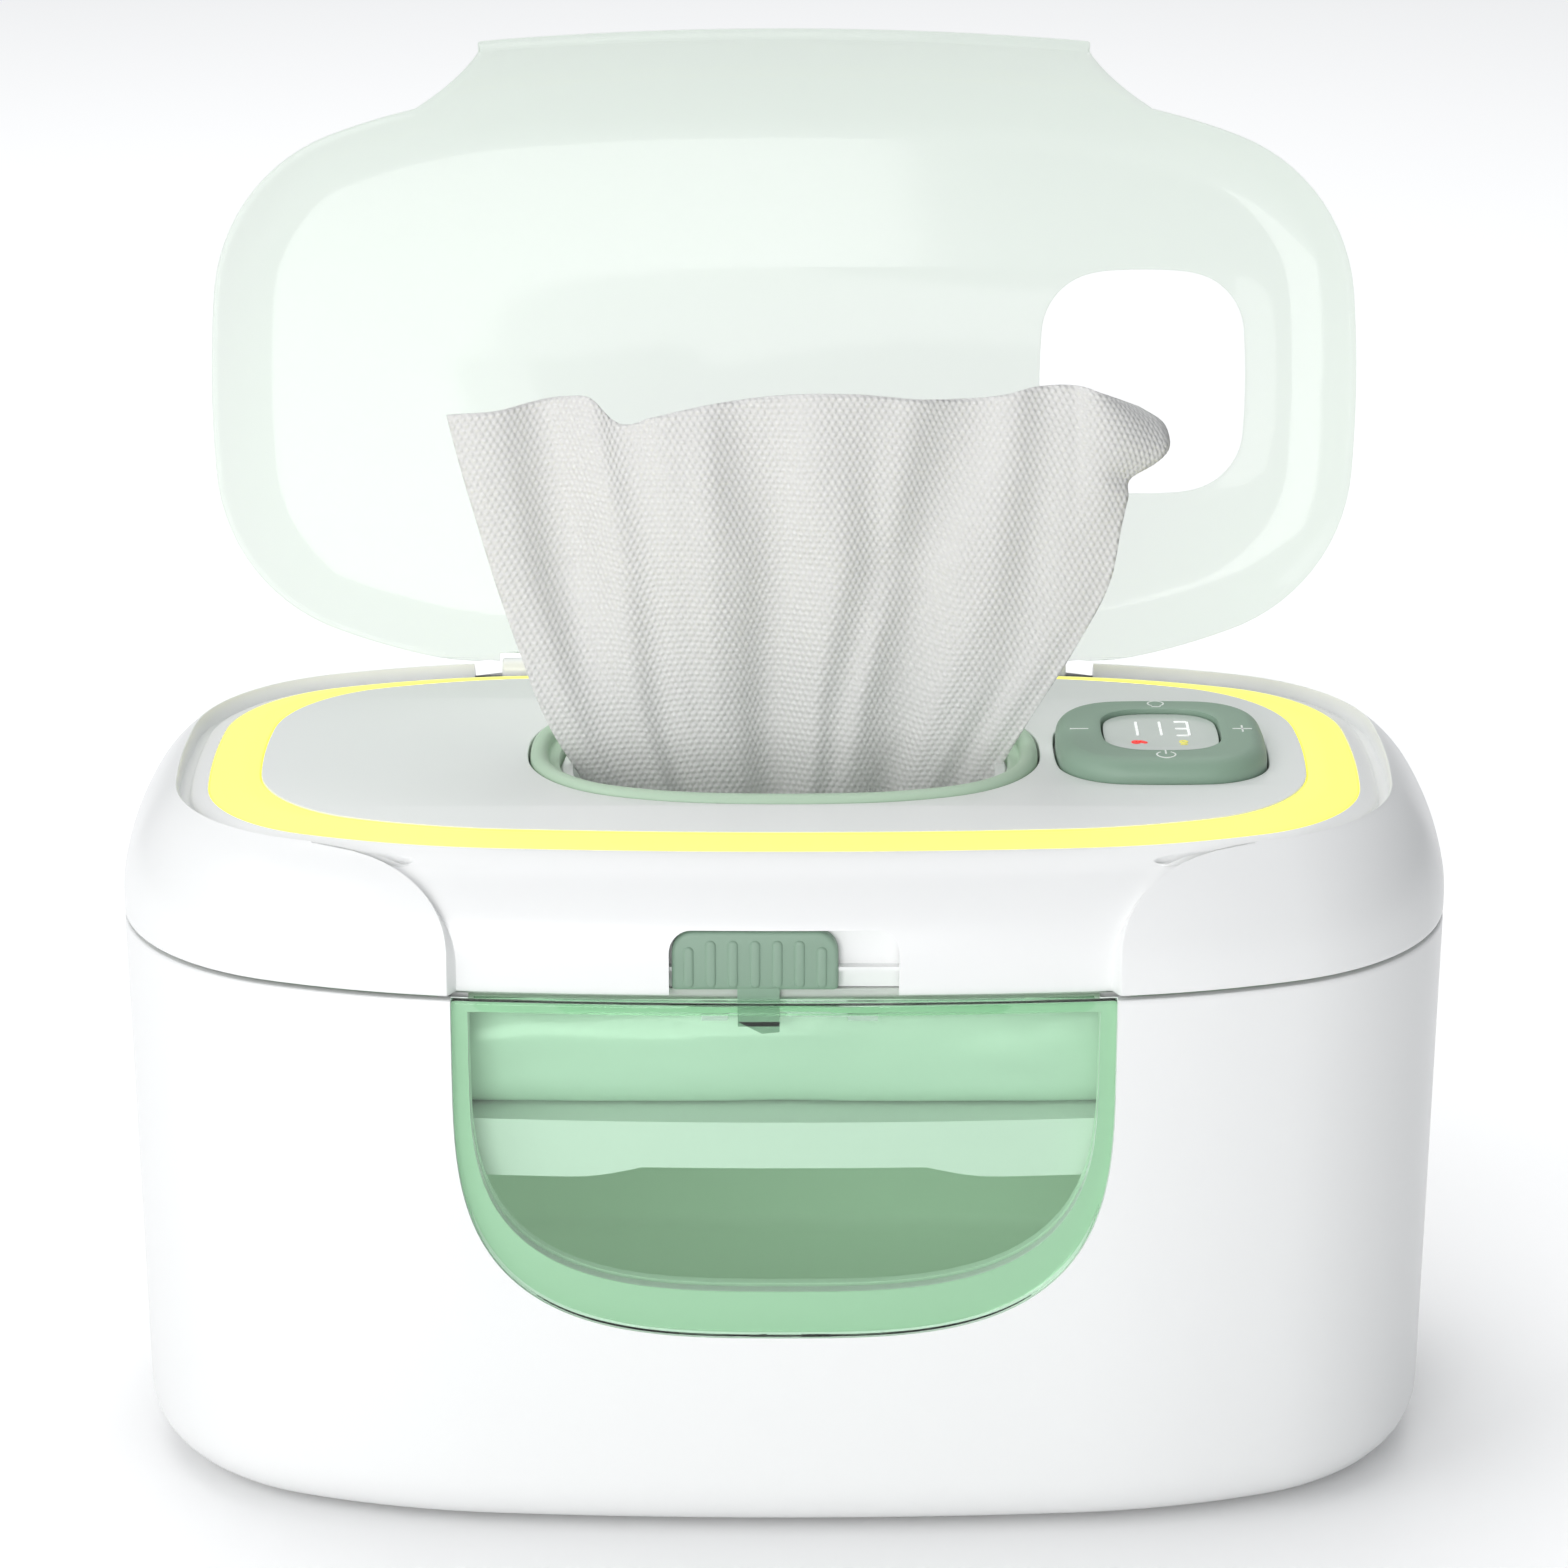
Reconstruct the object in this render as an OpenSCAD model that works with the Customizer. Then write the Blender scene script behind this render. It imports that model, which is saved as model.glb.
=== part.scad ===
// Baby wipe warmer: a tub with a see-through front window, a hinged top with heater,
// light ring and key pad, and a clear lid that stands open over the dispensing port.
// Millimetres. X runs to the right, Y to the back, Z up from the floor.

/* [Body] */
// Radius of the body's corner arcs, from which its width and depth follow
corner_r = 47.3; // [46.5:0.1:48]
// Height of the upper edge of the lower housing
base_top = 107.4; // [105:0.1:109]
// Wall thickness of the housings
wall = 2.6; // [2:0.1:3]
// Draft of the lower walls over their full height
draft = 1.6; // [0.5:0.1:3]
// Radius where the lower walls turn under the body
bottom_r = 12; // [8:0.5:16]

/* [Top] */
// Radius of the cover's rounded shoulder, which the lid continues
shoulder_r = 24.8; // [24:0.1:26]
// Height of the flat top plate
plate_z = 132.6; // [132:0.1:133]
// Half width of the recess for the lid's tongue
tongue_w = 60; // [50:1:62]
// Depth of that recess, measured from the front face
recess = 2.8; // [2.6:0.1:3.2]

/* [Lid] */
// Thickness of the clear lid
lid_t = 2.2; // [1.8:0.1:2.4]
// Angle the lid is shown open, from closed
lid_open = 100; // [90:1:101]

/* [Window] */
// Half width of the front window
window_w = 60.1; // [50:0.1:60.1]
// Height of the window's lowest point
window_z = 41.8; // [38:0.1:60]

/* [Tray and springs] */
// Height of the tray's top face with a full pack
tray_z = 81; // [75:0.5:82]
// Wire thickness of the tray springs
spring_wire = 1.4; // [1:0.1:1.8]
// Number of curls in each spring
spring_curls = 8; // [6:1:10]

/* [Hidden] */

fine = 96;
lift = 0.6;                       // housing above the floor, on its foot ring
cover_z = base_top + 0.8;         // lower edge of the cover
arc_z = 112;                      // height where the shoulder starts to curve
core_r = 17.5;                    // radius of the surface under the lid
core_z = 114.1;                   // height where that surface starts to curve
crest = 10.6;                     // inset of the recess wall round the top
ring_out = 16.45;                 // inset of the light ring's outer edge
deck_z = 130.9;                   // face that carries the top plate
lid_axis = [57.2, 131];           // [y, z] of the lid hinge
cover_axis = [74.2, 108];         // [y, z] of the cover hinge
pad_x = 71.6;                     // centre of the key pad
latch_x = -5.2;                   // centre of the latch slider, unlocked
travel = 10;                      // latch travel to the right

// ---- outlines: closed chains of tangent arcs -------------------------------------------

// Directions across the seams between arcs, as [sine, cosine] of 4.35, 16.26, 20.61 and
// 85.65 degrees; every number here is exact, so neighbouring arcs meet without a gap
seam_4 = [0.07584, 0.99712];
seam_16 = [0.28, 0.96];
seam_21 = [0.352, 0.936];
seam_86 = [0.99712, 0.07584];

// A closed outline from the radius r of its corner arcs, the distances that the other arc
// centres lie further back along their seams, and the direction d of the middle seam.
// Each arc is [centre, radius, start angle, sweep, outer end of its first and last seam].
function chain(r, back, d, reach) =
    let (u1 = [seam_4.x, -seam_4.y], u2 = [d.x, -d.y], u3 = [seam_86.x, -seam_86.y],
         c0 = [0, back[0] * seam_4.y + back[1] * d.y - back[2] * seam_86.y],
         c1 = c0 + back[0] * u1, c2 = c1 + back[1] * u2, c3 = [(c2 - back[2] * u3).x, 0],
         h1 = asin(seam_4.x), h2 = asin(d.x), h3 = asin(seam_86.x),
         p1 = c1 + reach * u1, p2 = c2 + reach * u2, p3 = c2 + reach * u3,
         r0 = r + back[0] + back[1], r1 = r + back[1], r3 = r + back[2])
    [[c0, r0, -90 - h1, 2 * h1, flip(p1), p1], [c1, r1, h1 - 90, h2 - h1, p1, p2],
     [c2, r, h2 - 90, h3 - h2, p2, p3], [c3, r3, h3 - 90, 180 - 2 * h3, p3, -flip(p3)],
     [-flip(c2), r, 90 - h3, h3 - h2, -flip(p3), -flip(p2)],
     [-flip(c1), r1, 90 - h2, h2 - h1, -flip(p2), -flip(p1)],
     [-c0, r0, 90 - h1, 2 * h1, -flip(p1), -p1], [-c1, r1, 90 + h1, h2 - h1, -p1, -p2],
     [-c2, r, 90 + h2, h3 - h2, -p2, -p3], [-c3, r3, 90 + h3, 180 - 2 * h3, -p3, flip(p3)],
     [flip(c2), r, 270 - h3, h3 - h2, flip(p3), flip(p2)],
     [flip(c1), r1, 270 - h2, h2 - h1, flip(p2), flip(p1)]];

function flip(p) = [-p.x, p.y];

body = chain(corner_r, [575, 95, 200], seam_21, 250);
half_d = body[0][1] - body[0][0].y;
body_front = [for (i = [10, 11, 0, 1, 2]) body[i]];
ring_in = chain(30.2, [575, 70, 150], seam_21, 250);
port = chain(25.5, [112.5, 40, 37.5], seam_21, 100);
pad = chain(12.1, [87.5, 2.5, 100], seam_21, 100);
display = chain(7.2, [37.5, 2.5, 62.5], seam_16, 100);
lid_hole = chain(12.4, [75, 7.5, 125], seam_16, 100);

// Points along an outline, moved outward by d
function points(o, d = 0) =
    [for (s = o) let (k = max(ceil(s[3] / 7), ceil(s[3] * s[1] / 900)))
        for (j = [0:k - 1]) let (t = s[2] + s[3] * j / k) s[0] + (s[1] + d) * [cos(t), sin(t)]];

// Sweeps a profile round an outline: x is the distance outside it, y is the height
module sweep(o)
    for (s = o) intersection() {
        translate([s[0].x, s[0].y, 0]) rotate_extrude($fn = 180) translate([s[1], 0]) children();
        translate([0, 0, -10]) linear_extrude(160) polygon([s[0], s[4], s[5]]);
    }

module slab(o, d, z0, z1)
    translate([0, 0, z0]) linear_extrude(z1 - z0) polygon(points(o, d));

module quad(x0, x1, z0, z1)
    translate([x0, z0]) square([x1 - x0, z1 - z0]);

module box(x0, x1, y0, y1, z0, z1)
    translate([x0, y0, z0]) cube([x1 - x0, y1 - y0, z1 - z0]);

module along_x(x0, x1, y, z, r)
    translate([x0, y, z]) rotate([0, 90, 0]) cylinder(h = x1 - x0, r = r, $fn = 48);

module along_z(x, y, z0, z1, r)
    translate([x, y, z0]) cylinder(h = z1 - z0, r = r, $fn = 48);

module both_sides() {
    children();
    mirror([1, 0, 0]) children();
}

// Extrudes a shape drawn in X and Z through the depth y0 to y1
module through(y0, y1)
    translate([0, y1, 0]) rotate([90, 0, 0]) linear_extrude(y1 - y0) children();

// ---- profiles --------------------------------------------------------------------------

// Lower housing filled inward to far, its faces moved inward by i
module tub_fill(i, far, top) {
    cx = -draft - bottom_r;
    cz = lift + bottom_r;
    polygon([[-far, lift + i], [cx, lift + i], [cx, cz], [-draft - i, cz], [-i, top], [-far, top]]);
    translate([cx, cz]) circle(r = bottom_r - i, $fn = fine);
}

module tub_skin(i, t) difference() {
    tub_fill(i, 30, base_top);
    tub_fill(i + t, 40, base_top + 9);
}

// Shoulder arc with straight skirt below it, filled inward
module shoulder_fill(r, bottom) {
    translate([-shoulder_r, arc_z]) circle(r = r, $fn = fine);
    quad(-shoulder_r - 8, r - shoulder_r, bottom, arc_z);
    quad(-shoulder_r - 8, -shoulder_r, arc_z, arc_z + r);
}

// The surface under the lid: front panel, arc, slope of the light ring, flat top
module core_fill(i, bottom) {
    cx = -recess - core_r;
    r = core_r - i;
    tip = [cx + r * cos(77), core_z + r * sin(77)];
    translate([cx, core_z]) circle(r = r, $fn = fine);
    polygon([[-33, bottom], [cx + r, bottom], [cx + r, core_z], [cx, core_z], tip,
        [-22.6, plate_z - i], [-33, plate_z - i]]);
}

// Outline of the tongue seen from the front: straight sides that flare into the crest
function tongue_side(w, top) =
    [for (j = [0:10]) let (t = 9 * j)
        [w + 25 - 25 * pow(cos(t), 0.8), 115 + (top - 115) * pow(sin(t), 0.8)]];
function tongue_points(w, top, low) =
    let (s = tongue_side(w, top))
    concat([[w, low]], s, [[w + 25, top + 9], [-w - 25, top + 9]],
        [for (j = [10:-1:0]) [-s[j].x, s[j].y]], [[-w, low]]);

// U-shaped window outline with half width w and lowest point z
function window_points(w, z, top) =
    concat([[w, top]], [for (j = [0:36]) let (t = 5 * j, c = cos(t))
        [w * sign(c) * pow(abs(c), 0.606), 95 - (95 - z) * pow(sin(t), 0.606)]], [[-w, top]]);

// ---- base ------------------------------------------------------------------------------

module window_ledge(grow) polygon(window_points(57 + grow, 50.5 - grow, base_top + 2));

module lower_housing() color("white") difference() {
    union() {
        sweep(body) difference() {
            union() {
                tub_skin(0, wall);
                // shelf for the tank's flange
                quad(-5.4, -wall + 0.3, 101.6, 104.3);
            }
            // groove of the foot ring
            quad(-24.2, -17.8, lift - 1, lift + 1.1);
        }
        slab(body, -28, lift, lift + wall);
        // frame that the window is bonded to
        intersection() {
            sweep(body_front) tub_skin(2.4, 2.6);
            through(-80, -40) polygon(window_points(63, 38, base_top));
        }
        // bosses for the tank screws, each on a web from the wall
        at_tank_screws() {
            along_z(0, 0, 84, 104.3, 3.4);
            box(0, 8.2, -1, 1, 84, 104.3);
        }
        // ribs that stiffen the floor
        for (x = [-60, -20, 20, 60]) box(x - 0.9, x + 0.9, -46, 46, lift + wall - 0.2, lift + wall + 2.2);
        both_sides() base_hinge();
    }
    // seat of the window and the opening behind it
    intersection() {
        sweep(body_front) difference() {
            tub_fill(-2, 30, base_top + 2);
            tub_fill(2.4, 40, base_top + 9);
        }
        through(-80, -40) polygon(window_points(window_w, window_z, base_top + 2));
    }
    through(-80, -40) window_ledge(0);
    at_tank_screws() along_z(0, 0, 90, 105, 1.23);
    both_sides() along_x(38, 52, cover_axis[0], cover_axis[1], 1.65);
}

// Places its children at the four tank screws, with their X axis outward
module at_tank_screws()
    for (x = [0, 1], y = [-28, 28]) mirror([x, 0, 0]) translate([112.3, y, 0]) children();

module base_hinge() {
    along_x(39.2, 50.8, cover_axis[0], cover_axis[1], 3.9);
    translate([39.2, 0, 0]) rotate([90, 0, 90]) linear_extrude(11.6)
        polygon([[67, 94], [67, base_top], [70.6, base_top], [cover_axis[0], 108], [78, 107], [76.6, 103.4],
            [69.2, 92.6]]);
}

module foot_ring() color("dimgray") sweep(body) {
    quad(-24, -18, 0.4, lift + 1);
    quad(-23.4, -18.6, 0, 0.5);
}

module inner_tank() color("darkseagreen") difference() {
    union() {
        sweep(body) {
            difference() {
                tub_fill(6.2, 30, 106.2);
                tub_fill(8, 40, 112);
            }
            quad(-8.4, -3, 104.4, 106.2);
        }
        slab(body, -28, lift + 6.2, lift + 8);
        // bulges that go round the screw bosses
        intersection() {
            at_tank_screws() along_z(0, 0, 82.4, 105, 5.4);
            slab(body, -6.8, 80, 106);
        }
        // cups that locate the springs
        both_sides() difference() {
            along_z(86, 0, lift + 7.8, lift + 12, 10.6);
            along_z(86, 0, lift + 8, lift + 13, 9.2);
        }
    }
    // view opening behind the window, below the flange
    through(-80, -40) polygon(window_points(57, 50.5, 104.4));
    // flange set back behind the window's frame and rib
    intersection() {
        sweep(body_front) quad(-5.6, 1, 104.1, 107);
        box(-64, 64, -80, -40, 100, 110);
    }
    // gap in the flange where the latch hook comes down
    box(-10.6, 12.6, -69, -61.8, 104, 107);
    at_tank_screws() {
        along_z(0, 0, 83.7, 104.4, 3.9);
        box(0, 8.8, -1.5, 1.5, 83.7, 104.4);
        along_z(0, 0, 103, 107, 1.5);
    }
}

module tank_screws() color("silver")
    at_tank_screws() difference() {
        union() {
            along_z(0, 0, 93, 106.4, 1.22);
            along_z(0, 0, 106.25, 107.2, 2.6);
        }
        box(-1.8, 1.8, -0.35, 0.35, 106.7, 108);
        box(-0.35, 0.35, -1.8, 1.8, 106.7, 108);
    }

module front_window() color([0.55, 0.8, 0.6, 0.5]) difference() {
    union() {
        intersection() {
            sweep(body_front) difference() {
                tub_fill(0, 30, base_top);
                tub_fill(2.3, 40, base_top + 9);
            }
            through(-80, -40) polygon(window_points(window_w - 0.15, window_z + 0.15, base_top));
        }
        // stiffening rib along the top edge
        intersection() {
            sweep(body_front) quad(-3.5, -1.4, 104.9, base_top);
            box(-56, 56, -80, -40, 100, 108);
        }
    }
    // finger scoop under the lid's tongue
    translate([0, -half_d - 206.2, 112.1]) sphere(r = 207, $fn = 180);
}

module latch_keeper() color("silver") difference() {
    box(-15, 17, -66, -61, 103.3, 104.4);
    box(-10.2, 0.6, -67, -62, 103, 105);
    box(0.5, 11.6, -67, -64.2, 103, 105);
}

// ---- tray, springs and wipes -----------------------------------------------------------

function step(t) = let (u = max(0, min(1, t))) u * u * (3 - 2 * u);

module lift_tray() color("white") difference() {
    union() {
        slab(body, -12.6, tray_z - 2, tray_z);
        sweep(body) {
            quad(-15, -10.4, tray_z - 2, tray_z);
            quad(-12, -10.4, tray_z - 9, tray_z - 0.5);
        }
        intersection() {
            sweep(body_front) quad(-12, -10.4, 65, tray_z - 0.5);
            through(-70, -40) polygon(concat([[-75, tray_z], [-75, tray_z - 11.1]],
                [for (x = [-40:4:40]) [x, tray_z - 11.1 + 5.3 * step((39 - abs(x)) / 30)]],
                [[75, tray_z - 11.1], [75, tray_z]]));
        }
        // ribs and spring cups on the underside
        for (y = [-40, 0, 40]) box(-74, 74, y - 0.8, y + 0.8, tray_z - 6, tray_z - 1.5);
        for (x = [-60, 0, 60]) box(x - 0.8, x + 0.8, -52, 52, tray_z - 6, tray_z - 1.5);
        both_sides() along_z(86, 0, tray_z - 6, tray_z - 1.5, 11);
    }
    both_sides() along_z(86, 0, tray_z - 7, tray_z - 2.4, 9.4);
    // drain slots
    for (x = [-80:20:80]) if (abs(x) != 80 && abs(x) != 60 && x != 0)
        box(x - 7, x + 7, 18, 22, tray_z - 3, tray_z + 1);
}

// One unbroken tube round a helix, with eight rings to a curl
module helix(r, wire, z0, z1, curls) {
    n = curls * 8;
    lead = (z1 - z0 - wire) / n;
    ring = [for (i = [0:n]) for (k = [0:5])
        let (a = 45 * i, b = 60 * k, q = r + wire / 2 * cos(b))
        [q * cos(a), q * sin(a), z0 + wire / 2 + lead * i + wire / 2 * sin(b)]];
    polyhedron(ring, concat(
        [for (i = [0:n - 1], k = [0:5]) [6 * i + k, 6 * i + 6 + k, 6 * i + (k + 1) % 6]],
        [for (i = [0:n - 1], k = [0:5]) [6 * i + (k + 1) % 6, 6 * i + 6 + k, 6 * i + 6 + (k + 1) % 6]],
        [[0, 1, 2, 3, 4, 5], [for (k = [5:-1:0]) 6 * n + k]]));
    echo(least_self_gap = lead * 8 - wire);
}

module lift_springs() color("silver") both_sides()
    translate([86, 0, 0]) helix(7.6, spring_wire, lift + 8.05, tray_z - 2.45, spring_curls);

// Pillow-shaped pack: rounded in plan, bulging faces, thin welded ends
module wipes_pack() {
    hw = 98; hd = 57; z0 = tray_z + 0.1; z1 = tray_z + 24; n = 64;
    levels = [[0, 0.93], [0.05, 0.975], [0.16, 1], [0.5, 1.004], [0.84, 1], [0.95, 0.972], [1, 0.9]];
    function rim(f) = [for (j = [0:n - 1]) let (t = 360 * j / n, c = cos(t), s = sin(t))
        [hw * f * sign(c) * pow(abs(c), 0.36), (hd - hw * (1 - f)) * sign(s) * pow(abs(s), 0.36)]];
    pts = [for (l = levels) for (p = rim(l[1])) [p.x, p.y, z0 + (z1 - z0) * l[0]]];
    m = len(levels) - 1;
    color("honeydew") polyhedron(pts, concat(
        [for (i = [0:m - 1], j = [0:n - 1]) [i * n + j, (i + 1) * n + (j + 1) % n, i * n + (j + 1) % n]],
        [for (i = [0:m - 1], j = [0:n - 1]) [i * n + j, (i + 1) * n + j, (i + 1) * n + (j + 1) % n]],
        [[for (j = [0:n - 1]) j], [for (j = [n - 1:-1:0]) m * n + j]]));
}

// ---- cover -----------------------------------------------------------------------------

// Shoulder shell with the crest that stands round the lid's groove
module shoulder_skin() {
    difference() {
        intersection() {
            shoulder_fill(shoulder_r, cover_z);
            quad(-crest, 1, cover_z, 140);
        }
        shoulder_fill(shoulder_r - 2.5, cover_z - 5);
    }
    intersection() {
        shoulder_fill(shoulder_r, cover_z);
        quad(-crest, -8.2, 125.6, 140);
    }
}

// Panel, arc and deck under the lid, between the heights z0 and z1
module deck_skin(z0, z1) difference() {
    intersection() {
        core_fill(0, cover_z);
        quad(-32.5, 0, z0, z1);
    }
    intersection() {
        core_fill(2.5, cover_z - 9);
        quad(-50, 0, 90, 126.9);
    }
    quad(-13, -crest, 128.7, 140);       // groove for the lid's rim
    quad(-33, -ring_out, 129.4, 140);    // seat of the light ring
}

module upper_housing() color("white") difference() {
    union() {
        // shoulder and side walls, with the recess for the lid's tongue taken out of them
        difference() {
            union() {
                sweep(body) shoulder_skin();
                intersection() {
                    sweep(body_front) intersection() {
                        shoulder_fill(shoulder_r - 0.2, cover_z);
                        quad(-5.3, 0, cover_z, 124);
                    }
                    both_sides() box(tongue_w - 1, tongue_w + 3.6, -80, -40, 100, 124);
                }
            }
            through(-90, -40) polygon(tongue_points(tongue_w, 131.9, 100));
        }
        // deck, with a slot over the strip of lamps all round but at the two ends
        sweep([for (i = [0:11]) if (i % 6 != 3) body[i]]) difference() {
            deck_skin(122.4, 140);
            quad(-22.4, -19.6, 120, 131);
        }
        sweep([body[3], body[9]]) deck_skin(122.4, 140);
        // panel behind the tongue
        intersection() {
            sweep(body_front) deck_skin(cover_z, 122.6);
            box(-tongue_w - 2.5, tongue_w + 2.5, -80, -30, 100, 140);
        }
        latch_pocket_walls();
        intersection() {
            box(-66, 66, 52, 64, 125.4, 129);
            slab(body, -3.4, 120, 130);
        }
        both_sides() pin_posts();
        both_sides() cover_hinge();
        inlet_boss();
        for (x = [-60, 60], y = [-38, 38]) along_z(x, y, 114.2, 129.4, 3.4);
    }
    latch_pocket();
    // trough for the lid hinge
    difference() {
        box(-62, 62, 54.4, 61.2, 128.3, 140);
        both_sides() pin_posts();
    }
    both_sides() along_x(17, 57, lid_axis[0], lid_axis[1], 1.27);
    both_sides() for (x = [33, 51.3]) along_x(x, x + 6, cover_axis[0], cover_axis[1], 1.65);
    inlet_bore();
    for (x = [-60, 60], y = [-38, 38]) along_z(x, y, 112, 125, 1.23);
}

module latch_pocket_walls() {
    box(-24, 24, -66, -61.6, cover_z + 0.4, 118);
    box(-24, 24, -64.5, -61.6, 117, 123);
}

module latch_pocket() through(-90, -63.3) {
    quad(-20.7, 20.7, 100, 116.4);
    quad(-16.7, 16.7, 110, 120.4);
    for (x = [-16.7, 16.7]) translate([x, 116.4]) circle(r = 4, $fn = fine);
}

module pin_posts() for (x = [17.6, 51])
    intersection() {
        union() {
            along_x(x, x + 5.4, lid_axis[0], lid_axis[1], 2.2);
            box(x, x + 5.4, lid_axis[0] - 2.2, lid_axis[0] + 2.2, 128, lid_axis[1]);
        }
        box(x, x + 5.4, 50, 62, 128.2, 140);
    }

module cover_hinge() for (x = [33.4, 51.4]) {
    along_x(x, x + 5.2, cover_axis[0], cover_axis[1], 3.9);
    translate([x, 0, 0]) rotate([90, 0, 90]) linear_extrude(5.2)
        polygon([[66.4, cover_z], [70, cover_z], [cover_axis[0], 107.6], [78, 109.4], [75, 114.6],
            [70, 117.5], [66.4, 117.5]]);
}

// Barrel socket for the power lead, in the rear right shoulder
inlet_at = [84, 113.6];           // [x, z] of its axis
module inlet_boss() intersection() {
    translate([inlet_at.x, 46, inlet_at[1]]) rotate([-90, 0, 0]) cylinder(h = 20, r = 7, $fn = 64);
    slab(body, -0.8, cover_z + 0.6, 125);
}
module inlet_bore() {
    translate([inlet_at.x, 40, inlet_at[1]]) rotate([-90, 0, 0]) cylinder(h = 30, r = 5, $fn = 64);
}

module power_inlet() color("dimgray") translate([inlet_at.x, 0, inlet_at[1]]) rotate([-90, 0, 0]) {
    difference() {
        translate([0, 0, 44]) cylinder(h = 15.2, r = 4.95, $fn = 64);
        translate([0, 0, 48]) cylinder(h = 14, r = 2.8, $fn = 64);
    }
    difference() {
        translate([0, 0, 42.2]) cylinder(h = 2, r = 6.6, $fn = 64);
        translate([0, 0, 41]) cylinder(h = 2, r = 3, $fn = 64);
    }
}

module cover_liner() color("whitesmoke") difference() {
    union() {
        slab(body, -9, 112.3, 114.1);
        sweep(body) {
            quad(-12, -5.8, 112.3, 114.1);
            quad(-7.8, -5.8, cover_z + 0.4, 112.4);
        }
    }
    slab(port, -5.6, 100, 120);
    box(-25, 25, -80, -61, 100, 120);
    for (x = [-60, 60], y = [-38, 38]) along_z(x, y, 110, 120, 1.5);
    // clearance round the power inlet and the lead behind it
    box(inlet_at.x - 7.4, inlet_at.x + 7.4, 40, 80, 104, 120);
    box(inlet_at.x - 3.2, inlet_at.x + 3.2, 20, 41, 104, 120);
}

module cover_screws() color("silver")
    for (x = [-60, 60], y = [-38, 38]) translate([x, y, 0]) difference() {
        union() {
            along_z(0, 0, 112, 122, 1.22);
            along_z(0, 0, 110.4, 112.25, 2.8);
        }
        box(-1.9, 1.9, -0.35, 0.35, 110, 111.3);
        box(-0.35, 0.35, -1.9, 1.9, 110, 111.3);
    }

module cover_seal() color("gainsboro") difference() {
    sweep(body) {
        quad(-7.6, -6, 107.3, cover_z + 0.35);
        translate([-6.8, 107.5]) circle(r = 0.9, $fn = 32);
    }
    at_tank_screws() along_z(0, 0, 105, 107.5, 2.9);
}

module hinge_pins() color("silver") both_sides()
    along_x(33.6, 56.4, cover_axis[0], cover_axis[1], 1.6);

// Carries the top plate, the port and the key pad; rests on the cover's inner ledge
module deck_plate() color("gainsboro") difference() {
    union() {
        slab(ring_in, -0.8, 129.45, deck_z);
        slab(body, -33, 128.4, 130);
    }
    slab(port, 0.4, 120, 140);
    translate([pad_x, 0, 0]) {
        slab(pad, 0.5, 129.7, 140);
        slab(display, 0.5, 120, 140);
    }
}

module top_plate() color("lightgray") difference() {
    slab(ring_in, -0.15, deck_z + 0.1, plate_z + 0.1);
    slab(port, 0.4, 120, 140);
    translate([pad_x, 0, 0]) slab(pad, 0.4, 120, 140);
}

module light_ring() color("khaki") difference() {
    sweep(body) intersection() {
        core_fill(0, cover_z);
        quad(-32, -ring_out - 0.1, 129.45, 140);
    }
    slab(ring_in, 0, 120, 140);
}

module led_strip() color("olivedrab") {
    sweep(body) quad(-23.4, -18.6, 125.3, 126.3);
    for (s = [for (i = [0, 1, 2, 4, 5, 6, 7, 8, 10, 11]) body[i]], f = [0.15, 0.5, 0.85])
        let (t = s[2] + f * s[3], p = s[0] + (s[1] - 21) * [cos(t), sin(t)])
            translate([p.x, p.y, 126.7]) rotate([0, 0, t]) cube([1.6, 2.8, 1], center = true);
}

// Soft lip: a round-topped outer bead and a lower inner ledge
module port_lip() color("darkseagreen") sweep(port) {
    quad(-3.4, 0, 128.4, 132.2);
    translate([-1.7, 132.2]) circle(r = 1.7, $fn = 24);
    quad(-5.6, -3.2, 128.4, 131.4);
}

module port_chute() color("gainsboro") difference() {
    union() {
        sweep(port) {
            quad(-8, -6.2, 109.4, 129.6);
            quad(-7, 4, 126.2, 128.2);
        }
    }
    // clearance under the display's frame
    translate([pad_x, 0, 0]) slab(display, 1.2, 120, 140);
}

module heater_plate() color("silver") difference() {
    slab(body, -37, 109.7, 111.1);
    slab(port, -5.6, 100, 120);
    for (x = [-60, 60], y = [-38, 38]) along_z(x, y, 100, 120, 3.4);
}

module heater_film() color("darkorange") difference() {
    slab(body, -39, 111.15, 112.2);
    slab(port, -4, 100, 120);
    for (x = [-60, 60], y = [-38, 38]) along_z(x, y, 100, 120, 4.4);
}

thermostat_tabs = [[-73.5, -2.4], [-70.5, 2.4]];
module thermostat() color("silver") {
    along_z(-72, 0, 114.15, 118.4, 5);
    along_z(-72, 0, 114.15, 115, 6.4);
    for (q = thermostat_tabs) box(q.x - 0.9, q.x + 0.9, q.y - 0.3, q.y + 0.3, 118.2, 121.6);
}

module control_board() color("seagreen") {
    box(47, 99, -24, 24, 121.9, 123.5);
    box(86, 94, -18, -8, 123.4, 126);
    box(88, 95, 6, 16, 123.4, 127);
    box(50, 57, 12, 20, 123.4, 125.4);
    for (x = [52, 96], y = [-20.5, 20.5]) along_z(x, y, 118.6, 122, 2);
    // the four dome switches under the key pad
    for (q = [[-15.4, 0], [15.4, 0], [0, -15.8], [0, 15.8]])
        along_z(pad_x + q.x, q.y, 123.4, 125, 2.6);
}

module display_module() color("white") translate([pad_x, 0, 0])
    slab(display, 0, 123.6, 134.5);

module display_lens() color("lightgray") translate([pad_x, 0, 0])
    slab(display, 0, 134.55, 136);

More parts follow.
